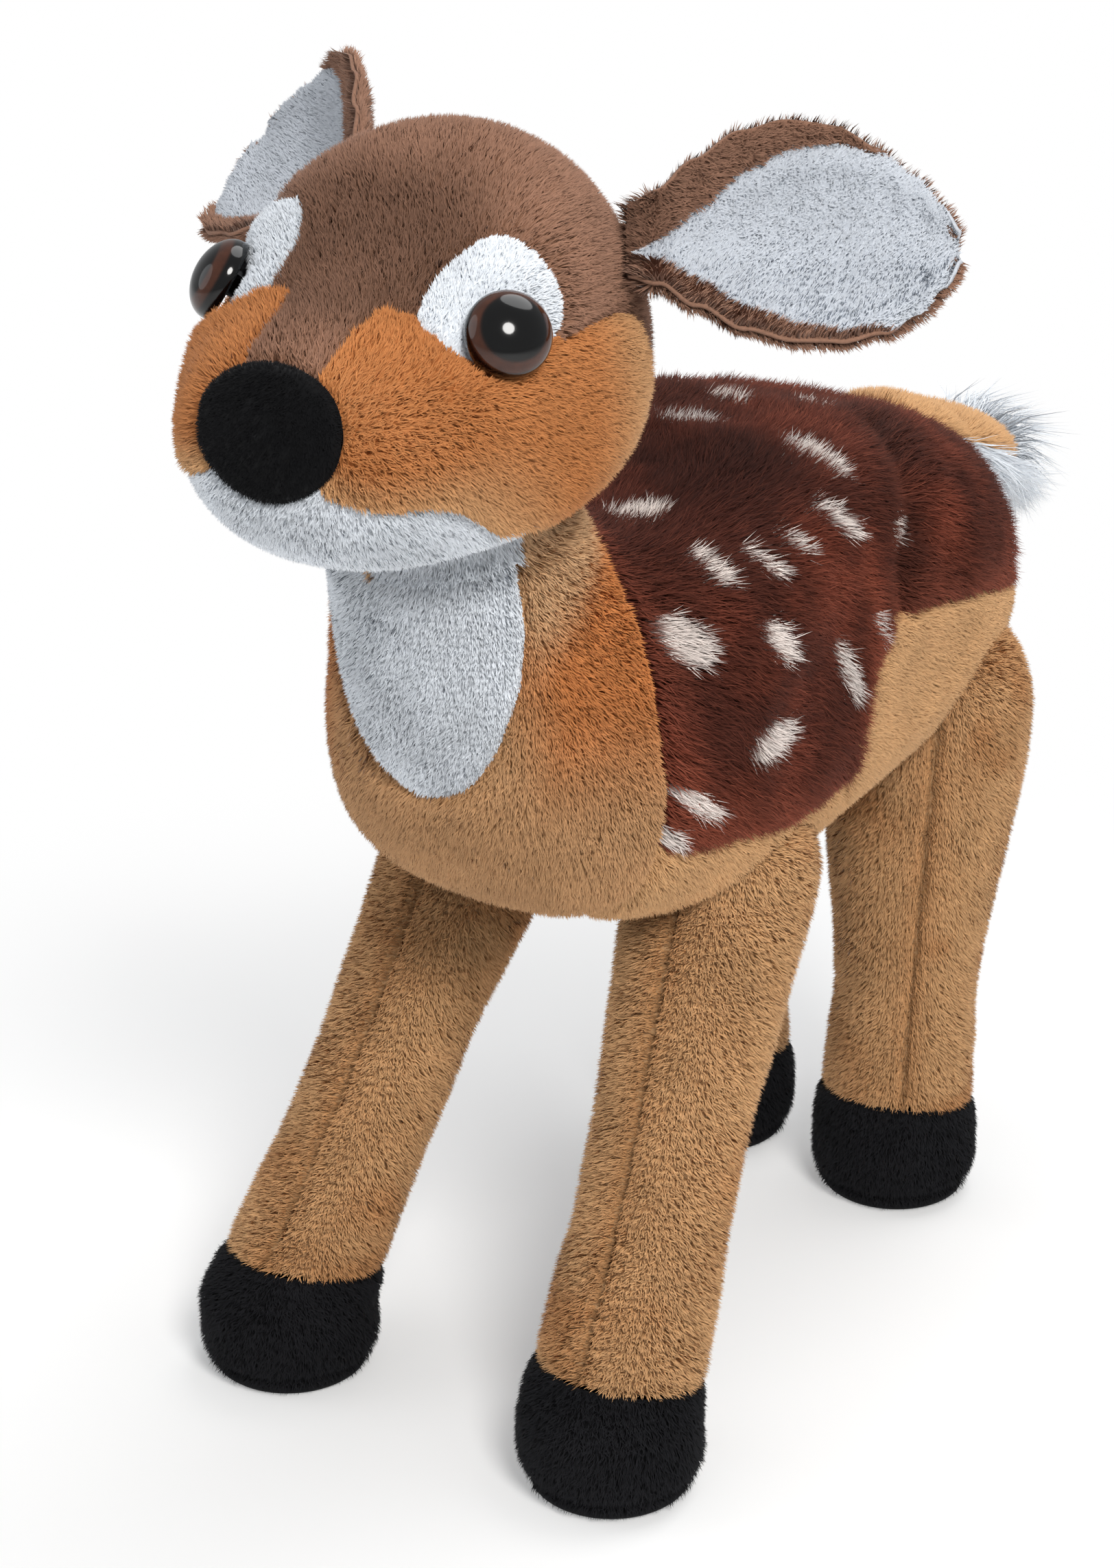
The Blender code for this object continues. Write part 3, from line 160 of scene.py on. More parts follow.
# Sizes of the coats, in metres
BACKING = 0.0012          # thickness of a skin
SKIN_INSET = 0.0016       # of the torso's and the head's skin under the solids' surface
COVER_SINK = 0.0018       # how much deeper the skin lies under the cover's longer pile
FOLD_SINK = 0.0046
EYE_LIP = 0.0010          # how much the skin dips round an eye
EAR_HALF_THICK = 0.0036
ROOT_EASE = 0.001         # space behind the root of an ear or the tail
SPOT_SHIFT = 0.0026       # how far the middle of a cover fibre lies from its root
PIECE_FIBRES = 60000      # the most fibres in a piece
FIBRE, TAN_FIBRE = 0.00030, 0.00031       # widths of a fibre
LEG_DENSITY, EAR_DENSITY = 6.6e6, 7.0e6   # fibres on a square metre
EAR_BARE = 0.01           # share of an ear's length, from its root, that has no pile
SEWN_RUN = 0.006          # length above the hoof over which the sleeve's own seams begin
FLOOR_REACH, FLOOR_DROP = 6.0, 0.0002
PIN_LEAST = 0.05          # the least hold on a skin's point in the cloth simulation
FINER = 5                 # fine grid steps for one of the simulated grid
CLOTH = dict(quality=4, mass=0.15, tension_stiffness=12.0, compression_stiffness=12.0, shear_stiffness=6.0,
             bending_stiffness=0.4, use_pressure=True, vertex_group_mass="pin", pin_stiffness=1.0)

# The studio. The camera is the one fitted to the photo; its focal length and the photo's height are pixels
CAMERA = dict(azimuth=34.72, elevation=22.58, place=(0.44647, -0.67822, 0.46794), focal=5500.0, height=2285.0)
SENSOR = 36.0
AMBIENT, AMBIENT_POWER = (0.97, 0.985, 1.0, 1.0), 0.46
PURE_WHITE = (1.0, 1.0, 1.0, 1.0)
FLOOR_WHITE = 0.25
FLOOR_FADE = (0.13, 0.34)   # distances from the middle over which the floor turns white
LAMP_TARGET = (0.0, -0.02, 0.15)
LAMPS = (
    ("key", (0.95, -0.75, 1.25), 0.55, 19.0, (1.0, 0.985, 0.96)),
    ("fill", (-1.25, -0.85, 0.75), 1.2, 4.2, (0.96, 0.98, 1.0)),
    ("top", (0.1, 0.65, 1.5), 1.2, 11.0, (1.0, 1.0, 1.0)))


# Arithmetic
def smooth(part):
    return part * part * (3.0 - 2.0 * part)


def share(table, x):
    """A table, read with a smooth step between its rows, as part.py reads it."""
    places, values = np.array(table).T
    x = np.clip(np.asarray(x, float), places[0], places[-1])
    low = np.clip(np.searchsorted(places, x, side="left") - 1, 0, len(places) - 2)
    part = smooth((x - places[low]) / (places[low + 1] - places[low]))
    return values[low] + (values[low + 1] - values[low]) * part


def line(table, x):
    places, values = zip(*table)
    return np.interp(x, places, values)


def step(x, low, high):
    return smooth(np.clip((x - low) / (high - low), 0.0, 1.0))


def crease(distance, width):
    return np.exp(-(distance / width) ** 2)


def mixed(a, b, weight):
    """a where the weight is 0 and b where it is 1."""
    return a * (1.0 - weight) + b * weight


def unit(v):
    return v / np.maximum(np.linalg.norm(v, axis=-1, keepdims=True), 1e-12)


def flattened(vectors, normals):
    """The part of each vector that lies in the surface."""
    return vectors - normals * np.sum(vectors * normals, 1, keepdims=True)


def turned(a, b, angle):
    return a * np.cos(angle)[:, None] + b * np.sin(angle)[:, None]


def turns(count):
    return np.linspace(0.0, 2.0 * PI, count, endpoint=False)


def lattice(first, second):
    return np.meshgrid(first, second, indexing="ij")


def noise(points, size, seed=0):
    """Smooth value noise from -1 to 1."""
    p = np.asarray(points, float) / size + seed * 17.31
    base = np.floor(p)
    part = smooth(p - base)
    total = 0.0
    for corner in range(8):
        offset = np.array([corner & 1, corner >> 1 & 1, corner >> 2 & 1])
        value = np.sin((base + offset) @ np.array([127.1, 311.7, 74.7]) + seed) * 43758.5453
        value = value - np.floor(value)
        total = total + value * np.prod(np.where(offset, part, 1.0 - part), axis=-1)
    return total * 2.0 - 1.0


def curve(a, b, c, d, part):
    """A smooth curve from b to c; a comes before them and d after."""
    return 0.5 * (2.0 * b + (c - a) * part + (2.0 * a - 5.0 * b + 4.0 * c - d) * part ** 2
                  + (3.0 * b - a - 3.0 * c + d) * part ** 3)


# The stuffed forms, as part.py has them
def rim(side):
    """The row of a form at the neck, below it for -1 and above it for 1."""
    centre = NECK + NECK_AXIS * NECK_HALF_GAP * side
    a, b = centre + NECK_BACK * NECK_RIM, centre - NECK_BACK * NECK_RIM
    return [a[1], a[2], b[1], b[2], NECK_RIM]


def rows_of(shares, f):
    return [[f["rear"] - a * f["length"], f["floor"] + b * f["height"], f["rear"] - c * f["length"],
             f["floor"] + d * f["height"], w * f["half"]] for a, b, c, d, w in shares]


def torso_rows():
    rows = rows_of(TORSO_ROWS, TORSO)
    y, mid, small = rows[0][0] + 0.005, (rows[0][1] + rows[0][3]) / 2.0, 0.009
    return np.array([[y, mid + small, y, mid - small, small]] + rows + [rim(-1.0)])


TORSO_SECTIONS = torso_rows()
HEAD_SECTIONS = np.array([rim(1.0)] + rows_of(HEAD_ROWS, HEAD))


def form(rows, square, s, t):
    """Points of a stuffed form at shares along it and turns round it."""
    s, t = np.broadcast_arrays(np.asarray(s, float), np.asarray(t, float))
    count = len(rows)
    spots = np.clip(s, 0.0, 1.0) * (count - 1)
    first = np.minimum(spots.astype(int), count - 2)
    padded = np.vstack([2.0 * rows[0] - rows[1], rows, 2.0 * rows[-1] - rows[-2]])
    row = curve(*(padded[first + k] for k in range(4)), (spots - first)[..., None])
    zero = np.zeros_like(s)
    back = np.stack([zero, row[..., 0], row[..., 1]], -1)
    belly = np.stack([zero, row[..., 2], row[..., 3]], -1)
    middle = (back + belly) / 2.0
    rise, side = np.cos(t), np.sin(t)
    power = 2.0 + (square - 2.0) * np.sin(PI * np.clip(s, 0.0, 1.0))
    reach = (np.abs(rise) ** power + np.abs(side) ** power) ** (-1.0 / power)
    across = np.stack([row[..., 4], zero, zero], -1)
    place = middle + ((back - middle) * rise[..., None] + across * side[..., None]) * reach[..., None]
    place[..., 1] += SHIFT_Y
    return place


def torso_form(s, t):
    return form(TORSO_SECTIONS, TORSO["square"], s, t)


def head_form(s, t):
    return form(HEAD_SECTIONS, HEAD["square"], s, t)


def round_share(t):
    """The share of the half turn from the top of a form to its underside, the same on both sides."""
    return np.abs(np.where(t > PI, t - 2.0 * PI, t)) / PI


def grid_normals(grid, wrap):
    """Normals of a grid of points; those of a closed grid point away from its middle line."""
    side = np.roll(grid, -1, 1) - np.roll(grid, 1, 1) if wrap else np.gradient(grid, axis=1)
    normals = unit(np.cross(side, np.gradient(grid, axis=0)))
    if wrap and np.sum(normals * (grid - grid.mean(1, keepdims=True))) < 0.0:
        normals = -normals
    return normals


def rounded(outline, parts=5):
    """A closed outline with its corners rounded by a curve through all its points."""
    points = (np.roll(np.array(outline), k, 0)[:, None] for k in (1, 0, -1, -2))
    part = np.linspace(0.0, 1.0, parts, endpoint=False)[None, :, None]
    return curve(*points, part).reshape(-1, 2)


def depth_in(outline, x, y):
    """How far a place lies inside a closed outline; negative outside it."""
    p = np.stack([x, y], -1)
    near = np.full(p.shape[:-1], FAR)
    inside = np.zeros(p.shape[:-1], bool)
    for a, b in zip(outline, np.roll(outline, -1, 0)):
        edge = b - a
        part = np.clip(((p - a) @ edge) / (edge @ edge), 0.0, 1.0)
        near = np.minimum(near, np.linalg.norm(p - a - part[..., None] * edge, axis=-1))
        crosses = (a[1] > p[..., 1]) != (b[1] > p[..., 1])
        inside ^= crosses & (p[..., 0] < a[0] + (p[..., 1] - a[1]) * edge[0] / (edge[1] or 1e-12))
    return np.where(inside, near, -near)


def seam_gap(value, table, x, value_run, x_run):
    """Metres from a point of the pattern to a seam that a table gives, square to the seam."""
    d = 0.01
    slope = (line(table, x + d) - line(table, x - d)) / (2.0 * d)
    return np.abs(value - line(table, x)) / np.sqrt(1.0 / value_run ** 2 + (slope / x_run) ** 2)


# Meshes
def new_mesh(name, verts, faces):
    """A smooth mesh from arrays: faces is an array of quads or triangles."""
    mesh = bpy.data.meshes.new(name)
    verts = np.ascontiguousarray(verts, np.float32)
    faces = np.ascontiguousarray(faces, np.int32)
    count, sides = faces.shape
    mesh.vertices.add(len(verts))
    mesh.vertices.foreach_set("co", verts.ravel())
    mesh.loops.add(count * sides)
    mesh.loops.foreach_set("vertex_index", faces.ravel())
    mesh.polygons.add(count)
    mesh.polygons.foreach_set("loop_start", np.arange(0, count * sides, sides, dtype=np.int32))
    mesh.update(calc_edges=True)
    mesh.validate()
    mesh.shade_smooth()
    obj = bpy.data.objects.new(name, mesh)
    bpy.context.scene.collection.objects.link(obj)
    return obj


def grid_faces(rows, cols, wrap):
    i = np.arange(rows - 1)[:, None]
    j = np.arange(cols if wrap else cols - 1)[None, :]
    k = (j + 1) % cols
    return np.stack([i * cols + j, i * cols + k, (i + 1) * cols + k, (i + 1) * cols + j], -1).reshape(-1, 4)


def grid_mesh(name, grid, wrap=True):
    return new_mesh(name, grid.reshape(-1, 3), grid_faces(*grid.shape[:2], wrap))


def lathe(centre, right, ahead, out, profile, count):
    """A grid turned round a line; each row of the profile is a radius and a height."""
    ring = right[None] * np.cos(turns(count))[:, None] + ahead[None] * np.sin(turns(count))[:, None]
    return np.array([centre + out * height + ring * radius for radius, height in profile])


def faced(verts, faces, outward):
    """The faces, turned so that they look outward."""
    a, b, c = (verts[faces[:, k]] for k in range(3))
    return faces[:, ::-1] if np.sum(np.cross(b - a, c - a) * outward) < 0.0 else faces


def colour_points(obj, colours):
    """Per-point colours that the pile's material reads."""
    data = np.ones((len(obj.data.vertices), 4), np.float32)
    data[:, :3] = colours
    layer = obj.data.color_attributes.new("Pile", "FLOAT_COLOR", "POINT")
    layer.data.foreach_set("color", data.ravel())


def billow(grid, wrap, pinned, pressure=3.5, cap=0.0030, steps=14):
    """Swell a sewn skin between its seams by a cloth simulation and give the moved grid back."""
    obj = grid_mesh("sim_skin", grid, wrap)
    group = obj.vertex_groups.new(name="pin")
    levels = np.rint(pinned.ravel() * 10.0)
    for level in range(1, 11):
        chosen = np.nonzero(levels == level)[0]
        if len(chosen):
            group.add(chosen.tolist(), level / 10.0, "REPLACE")
    cloth = obj.modifiers.new("Cloth", "CLOTH")
    for key, value in CLOTH.items():
        setattr(cloth.settings, key, value)
    cloth.settings.uniform_pressure_force = pressure
    cloth.settings.effector_weights.gravity = 0.0
    cloth.point_cache.frame_start, cloth.point_cache.frame_end = 1, steps
    scene = bpy.context.scene
    for number in range(1, steps + 1):
        scene.frame_set(number)
    moved = obj.evaluated_get(bpy.context.evaluated_depsgraph_get()).data
    co = np.zeros(len(moved.vertices) * 3, np.float32)
    moved.vertices.foreach_get("co", co)
    scene.frame_set(1)
    bpy.data.objects.remove(obj, do_unlink=True)
    shift = co.reshape(grid.shape) - grid
    size = np.linalg.norm(shift, axis=-1, keepdims=True)
    shift = shift * (cap * np.tanh(size / cap) / np.maximum(size, 1e-9))
    return grid + np.nan_to_num(shift)


def finer(grid, factor, wrap):
    """A grid read between its points by straight lines, both ways."""
    def along_first(g, closed):
        source = np.concatenate([g, g[:1]]) if closed else g
        spots = np.linspace(0.0, len(source) - 1.0, (len(source) - 1) * factor + 1)
        if closed:
            spots = spots[:-1]
        low = np.minimum(spots.astype(int), len(source) - 2)
        part = (spots - low).reshape((-1,) + (1,) * (g.ndim - 1))
        return mixed(source[low], source[low + 1], part)
    return np.swapaxes(along_first(np.swapaxes(along_first(grid, False), 0, 1), wrap), 0, 1)


def swollen_form(at, end, rows, cols, pins_of, **swell):
    """A form's fine grid, moved as the simulation moves its coarse one."""
    gs, gt = lattice(np.linspace(0.0, end, rows), turns(cols))
    grid = at(gs, gt)
    pins = pins_of(gs, gt, grid).clip(PIN_LEAST, 1.0)
    shift = finer(billow(grid, True, pins, **swell) - grid, FINER, True)
    gs, gt = lattice(np.linspace(0.0, end, (rows - 1) * FINER + 1), turns(cols * FINER))
    return gs, gt, at(gs, gt) + shift


# Pile
def sample(verts, faces, density, seed):
    """Random roots on triangles: the corners of each root's triangle and their weights."""
    rng = np.random.default_rng(seed)
    a, b, c = (verts[faces[:, k]] for k in range(3))
    area = np.linalg.norm(np.cross(b - a, c - a), axis=1) / 2.0
    count = int(area.sum() * density)
    chosen = rng.choice(len(faces), count, p=area / area.sum())
    u, v = rng.random(count), rng.random(count)
    flip = u + v > 1.0
    u, v = np.where(flip, 1.0 - u, u), np.where(flip, 1.0 - v, v)
    return faces[chosen], np.stack([1.0 - u - v, u, v], 1)


def read(field, corner, weight):
    """A field of the grid at the sampled roots."""
    if field.ndim > 1:
        weight = weight[..., None]
    a, b, c = (field[corner[:, k]] * weight[:, k] for k in range(3))
    return a + b + c


def only(found, keep):
    return {key: value[keep] for key, value in found.items()}


def pile(name, found, seed, width, clump, cell, jitter, tone_spread, softness):
    """Fur as real fibres: a narrow leaf of three triangles each, leaning along the comb direction."""
    rng = np.random.default_rng(seed)
    roots, normals, place = found["p"], found["n"], found["place"]
    count = len(roots)
    length = found["length"] * (0.78 + 0.44 * rng.random(count))
    width = width * (0.75 + 0.5 * rng.random(count))
    comb = unit(flattened(found["comb"], normals) + 1e-6)
    swirl = 0.45 * noise(roots, 0.012, seed + 3) + jitter * rng.normal(size=count)
    comb = unit(turned(comb, np.cross(normals, comb), swirl))
    aside = np.cross(normals, comb)
    lean = 0.80 + 0.40 * (0.5 + 0.5 * noise(roots, 0.006, seed + 5))
    tilt = found["lie"] * lean + 0.10 * rng.normal(size=count)
    low, high = turned(normals, comb, tilt * 0.70), turned(normals, comb, tilt * 1.25)
    # Fibres of a cell draw together at their tips, as tufts do
    cells = np.floor(roots / cell)
    drift = np.stack([np.sin(cells @ np.array([12.9, 78.2, 37.7]) + k * 1.7) * 43758.5 % 1.0
                      for k in range(3)], 1)
    pull = flattened((cells + 0.25 + 0.5 * drift) * cell - roots, normals) * clump
    flat = unit(turned(aside, np.cross(aside, low), 0.5 * rng.normal(size=count)))
    outward = np.sum(np.cross(flat, low) * normals, 1, keepdims=True)
    flat = flat * np.where(outward < 0.0, -1.0, 1.0)
    half = flat * width[:, None] / 2.0
    middle = roots + low * (length * 0.5)[:, None] + pull * 0.35
    tip = middle + high * (length * 0.5)[:, None] + pull * 0.65
    verts = np.stack([roots - half, roots + half, middle - half * 0.9, middle + half * 0.9, tip], 1)
    base = (np.arange(count) * 5)[:, None]
    faces = np.concatenate([base + [[0, 1, 3]], base + [[0, 3, 2]], base + [[2, 3, 4]]], 1).reshape(-1, 3)
    obj = new_mesh(name, verts.reshape(-1, 3), faces)
    # Soft shading, between the leaf's own normal and the coat's
    soft = unit(softness * normals + (1.0 - softness) * unit(np.cross(flat, low + high)))
    shade = obj.data.attributes.new("custom_normal", "FLOAT_VECTOR", "POINT")
    shade.data.foreach_set("vector", np.repeat(soft, 5, 0).astype(np.float32).ravel())
    tone = 1.0 + tone_spread * (rng.normal(size=count) + noise(roots, 0.009, seed + 9))
    tone = tone[:, None].clip(0.6, 1.5)
    near, far = found["root"] * tone, found["tip"] * tone
    between = near * 0.4 + far * 0.6
    colour_points(obj, np.stack([near, near, between, between, far], 1).reshape(-1, 3))
    uv = obj.data.uv_layers.new(name="OFBake")
    low_uv, high_uv = place.min(0), place.max(0)
    spot = 0.01 + 0.98 * (place - low_uv) / np.maximum(high_uv - low_uv, 1e-9)
    d = 0.0008   # width of a fibre's own patch of the layout
    corners = np.array([[0, 0], [d, 0], [d, d], [0, 0], [d, d], [0, d], [0, d], [d, d], [d / 2, 2 * d]])
    uv.data.foreach_set("uv", (spot[:, None, :] + corners[None]).astype(np.float32).ravel())
    return obj


def lay_pile(name, body, slot_name, material, found, comb, length, root_colour, tip_colour, seed,
             width=0.00028, lie=0.50, clump=0.36, cell=0.0019, jitter=0.50, tone_spread=0.06, softness=0.76):
    """Fur over the sampled roots, in as many pieces as the fibre limit asks for. The darker root colour that
    each caller gives is painted shade deep in the pile.
    """
    count = len(found["p"])
    fibres = {key: found[key] for key in ("p", "n", "place")}
    for key, value in (("comb", comb), ("root", root_colour), ("tip", tip_colour)):
        fibres[key] = np.broadcast_to(value, (count, 3))
    for key, value in (("length", length), ("lie", lie)):
        fibres[key] = np.broadcast_to(value, (count,))
    pieces = -(-count // PIECE_FIBRES)
    order = np.argsort(found["place"][:, 0], kind="stable")
    made = []
    for number, chosen in enumerate(np.array_split(order, pieces)):
        label = name if pieces == 1 else "%s_%d" % (name, number + 1)
        fur = pile(label, only(fibres, chosen), seed + number, width, clump, cell, jitter, tone_spread,
                   softness)
        made.append(dress(fur, body, material))
    return made


# Materials
def add_node(tree, kind, inputs=(), **settings):
    """A node with its settings; each input takes a value or another node's socket."""
    node = tree.nodes.new(kind)
    for key, value in settings.items():
        setattr(node, key, value)
    for key, value in dict(inputs).items():
        if isinstance(value, bpy.types.NodeSocket):
            tree.links.new(value, node.inputs[key])
        else:
            node.inputs[key].default_value = value
    return node


def node_material(name, rough=0.9, sheen=0.0, sheen_rough=0.5, specular=0.25):
    made = bpy.data.materials.new(name)
    made.use_nodes = True
    shader = made.node_tree.nodes["Principled BSDF"]
    for key, value in (("Roughness", rough), ("Specular IOR Level", specular), ("Sheen Weight", sheen),
                       ("Sheen Roughness", sheen_rough)):
        shader.inputs[key].default_value = value
    return made, made.node_tree, shader


def product(tree, a, b):
    """The product of two colours; a and b are sockets."""
    return add_node(tree, "ShaderNodeMix", {0: 1.0, 6: a, 7: b}, data_type="RGBA",
                    blend_type="MULTIPLY").outputs[2]


def texture(tree, scale, detail=3.0):
    """A procedural noise in the object's own metres."""
    place = add_node(tree, "ShaderNodeTexCoord").outputs["Object"]
    inputs = {"Scale": scale, "Detail": detail, "Vector": place}
    return add_node(tree, "ShaderNodeTexNoise", inputs).outputs[0]


def ramp(tree, source, low, high, start=0.3, end=0.7):
    """A grey that runs from low to high over the middle of a noise."""
    made = add_node(tree, "ShaderNodeValToRGB", {0: source})
    for element, place, value in zip(made.color_ramp.elements, (start, end), (low, high)):
        element.position = place
        element.color = (value, value, value, 1.0)
    return made.outputs["Color"]


def point_colour(tree):
    return add_node(tree, "ShaderNodeAttribute", attribute_name="Pile").outputs["Color"]


def paint(tree, shader, socket):
    tree.links.new(socket, shader.inputs["Base Color"])


def pile_material(name, sheen, rough=0.85, contrast=0.10):
    """Dyed fibre: the pattern's colour, with the painted shade that the points carry, and a fine variation
    along and across the pile.
    """
    made, tree, shader = node_material(name, rough, sheen, 0.45, 0.10)
    fine = ramp(tree, texture(tree, 900.0), 1.0 - contrast, 1.0 + contrast)
    broad = ramp(tree, texture(tree, 60.0), 0.93, 1.05)
    paint(tree, shader, product(tree, product(tree, point_colour(tree), fine), broad))
    return made


def skin_material(name):
    """The knitted backing under the pile: the same dye, darker as painted shade in the gaps between the
    fibres, with the knit's fine grain.
    """
    made, tree, shader = node_material(name, 0.95, 0.1, 0.5, 0.1)
    grain = texture(tree, 1400.0, 4.0)
    # The ramp darkens the colour as a whole, painted shade in the gaps, and varies it by the knit's grain.
    paint(tree, shader, product(tree, point_colour(tree), ramp(tree, grain, 0.72, 0.95, 0.25, 0.75)))
    knit = add_node(tree, "ShaderNodeBump", {"Strength": 0.2, "Distance": 0.0003, "Height": grain})
    tree.links.new(knit.outputs["Normal"], shader.inputs["Normal"])
    return made


PILE = pile_material("pile_short", 0.10)
PILE_LONG = pile_material("pile_long", 0.05, 0.70)
PILE_WHITE = pile_material("pile_white", 0.05, 0.95, 0.03)
PILE_BLACK = pile_material("pile_black", 0.04, 0.85)
SKIN = skin_material("backing")

# The piles: panel, fibres on a square metre, length, slot, material and style
COVER_STYLE = dict(width=0.00028, lie=0.85, clump=0.38, cell=0.0026, jitter=0.30, tone_spread=0.12)
TAN_STYLE = dict(width=TAN_FIBRE, lie=0.52, clump=0.38, cell=0.0018)
WHITE_STYLE = dict(clump=0.25, cell=0.0018, softness=0.94)
TORSO_PILES = (
    ("cover", 4.8e6, 0.0066, "cover", PILE_LONG, COVER_STYLE),
    ("chest", 6.8e6, 0.0028, "tan", PILE, TAN_STYLE),
    ("haunch", 6.8e6, 0.0028, "tan", PILE, TAN_STYLE),
    ("belly", 5.0e6, 0.0022, "white", PILE_WHITE, dict(WHITE_STYLE, width=0.00028, lie=0.50)),
    ("bib", 8.0e6, 0.0018, "white", PILE_WHITE, dict(WHITE_STYLE, width=TAN_FIBRE, lie=0.45)))
HEAD_PILES = (
    ("crown", ("crown",), 7.4e6, 0.0027, "crown", PILE, {}),
    ("cheek", ("cheek",), 7.4e6, 0.0028, "cheek", PILE, {}),
    ("white", ("chin", "patch"), 8.0e6, 0.0018, "white", PILE_WHITE, dict(clump=0.25, softness=0.94)))


def dress(obj, body, material):
    """Material and body of a piece; a piece that lies between two bodies gets no body here."""
    obj.data.materials.clear()
    obj.data.materials.append(material)
    if body is not None:
        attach(obj, body)
    return obj


class Coat:
    """A sewn skin over a stuffed form, with fields that say where a point is in the pattern."""

    def __init__(self, name, body, slot_name, grid, fields, wrap, inset, keep=None, normals=None):
        self.name, self.body, self.slot_name = name, body, slot_name
        normals = grid_normals(grid, wrap) if normals is None else normals
        self.verts = (grid - normals * (inset[..., None] if np.ndim(inset) else inset)).reshape(-1, 3)
        self.normals = normals.reshape(-1, 3)
        self.fields = {key: value.reshape((-1,) + value.shape[2:]) for key, value in fields.items()}
        quads = grid_faces(*grid.shape[:2], wrap)
        if keep is not None:
            quads = quads[keep.ravel()[quads].any(1)]
        self.quads = faced(self.verts, quads, self.normals[quads[:, 0]])
        self.triangles = np.concatenate([self.quads[:, [0, 1, 2]], self.quads[:, [0, 2, 3]]])

    def skin(self, colours, fill, thickness=BACKING):
        used, index = np.unique(self.quads, return_inverse=True)
        obj = new_mesh(self.name, self.verts[used], index.reshape(self.quads.shape))
        colour_points(obj, np.broadcast_to(colours, self.verts.shape)[used])
        shell = obj.modifiers.new("Thickness", "SOLIDIFY")
        shell.thickness = thickness
        shell.offset = -1.0
        dress(obj, self.body, SKIN)
        return obj

    def roots(self, density, seed, across="u", along="s"):
        """Random roots with their place, normal and fields, and their place in the pattern."""
        corner, weight = sample(self.verts, self.triangles, density, seed)
        found = {key: read(value, corner, weight) for key, value in self.fields.items()}
        found["p"] = read(self.verts, corner, weight)
        found["n"] = unit(read(self.normals, corner, weight))
        found["place"] = np.stack([found[along], found[across]], 1)
        if across == "u":
            found["place"][:, 1] *= np.where(found["p"][:, 0] < 0.0, -1.0, 1.0)
        return found


# The space the legs, the ears and the tail take
class Leg:
    def __init__(self, pair, side):
        hip, foot, self.ball, self.thigh = LEGS[pair]
        self.hip = np.array([hip[0] * side, hip[1] + SHIFT_Y, hip[2]])
        self.foot = np.array([foot[0] * side, foot[1] + SHIFT_Y])
        self.pair, self.side = pair, side
        self.label = pair + ("_left" if side > 0 else "_right")
        self.body = "leg_" + self.label

    def middle(self, z):
        part = np.clip((self.hip[2] - z) / (self.hip[2] - HOOF_FALL), 0.0, 1.0)[..., None]
        return self.hip[:2] + (self.foot - self.hip[:2]) * part

    def radius(self, z):
        part = (self.hip[2] - z) / (self.hip[2] - HOOF_HEIGHT)
        body = share(LEG_SHARES, part) * LEG_RADIUS
        near = np.clip(1.0 - (self.hip[2] - z) / self.thigh, 0.0, 1.0)
        body = body + (self.ball - body) * near * near * (3.0 - 2.0 * near)
        hoof = share(HOOF_SHARES, (HOOF_HEIGHT - z) / HOOF_HEIGHT) * HOOF_RADIUS
        top = np.sqrt(np.clip(self.ball ** 2 - (z - self.hip[2]) ** 2, 0.0, None))
        return np.where(z > self.hip[2], top, np.where(z >= HOOF_HEIGHT, body, hoof))

    def inside(self, p, grow):
        """How far a point is inside the leg grown by a clearance."""
        flat = np.linalg.norm(p[..., :2] - self.middle(p[..., 2]), axis=-1)
        depth = self.radius(p[..., 2]) + grow - flat
        ball = self.ball + grow - np.linalg.norm(p - self.hip, axis=-1)
        return np.where(p[..., 2] > self.hip[2], ball, depth)


ALL_LEGS = [Leg(pair, side) for pair in LEGS for side, label in SIDES]


def ear_axes(side):
    """Directions along and across an ear, and the one its lining faces."""
    sweep, rise, lean = EAR["sweep"], EAR["rise"], EAR["lean"]
    flat = math.cos(rise)
    along = np.array([side * math.cos(sweep) * flat, math.sin(sweep) * flat, math.sin(rise)])
    upright = np.array([side * math.sin(sweep), -math.cos(sweep), 0.0])
    upwards = np.cross(upright, along) * side
    across = upwards * math.cos(lean) - upright * math.sin(lean)
    return along, across, upright * math.cos(lean) + upwards * math.sin(lean)


def ear_root(side):
    return np.array(EAR["root"]) * [side, 1.0, 1.0] + SHIFT


def ear_half(a):
    return 0.5 * EAR["width"] * share(EAR_OUTLINE, a)


def ear_clear(side, p):
    """How far a point lies outside the ear's root."""
    along, across, facing = ear_axes(side)
    d = p - ear_root(side)
    a = (d @ along) / EAR["length"]
    beside = np.maximum(np.abs(d @ across) - ear_half(a), np.abs(d @ facing) - EAR_HALF_THICK)
    return np.maximum(beside, -a * EAR["length"] - ROOT_EASE)


def tail_axes():
    along = np.array([0.0, math.cos(TAIL["drop"]), -math.sin(TAIL["drop"])])
    out = np.array([0.0, math.sin(TAIL["drop"]), math.cos(TAIL["drop"])])
    return along, out, np.array(TAIL["root"]) + SHIFT


def tail_clear(p):
    """How far a point lies outside the tail's root."""
    along, out, root = tail_axes()
    d = p - root
    a = (d @ along) / TAIL["length"]
    width = share(TAIL_OUTLINE, a)
    beside = np.maximum(np.abs(d[..., 0]) - TAIL["half"] * width,
                        np.abs(d @ out) - 0.5 * TAIL["thick"] * np.sqrt(width))
    return np.maximum(beside, -a * TAIL["length"] - ROOT_EASE)


def painted(points, pattern, colours, deep):
    """Root and tip colours by panel; the roots are darker as painted shade deep in the pile, in the white
    panels hardly.
    """
    root, tip = np.empty((len(points), 3)), np.empty((len(points), 3))
    for key, colour in colours.items():
        colour = np.broadcast_to(colour, points.shape)[pattern[key]]
        root[pattern[key]] = colour * (WHITE_ROOT_SHADE if key in WHITE_PANELS else deep)
        tip[pattern[key]] = colour
    return root, tip


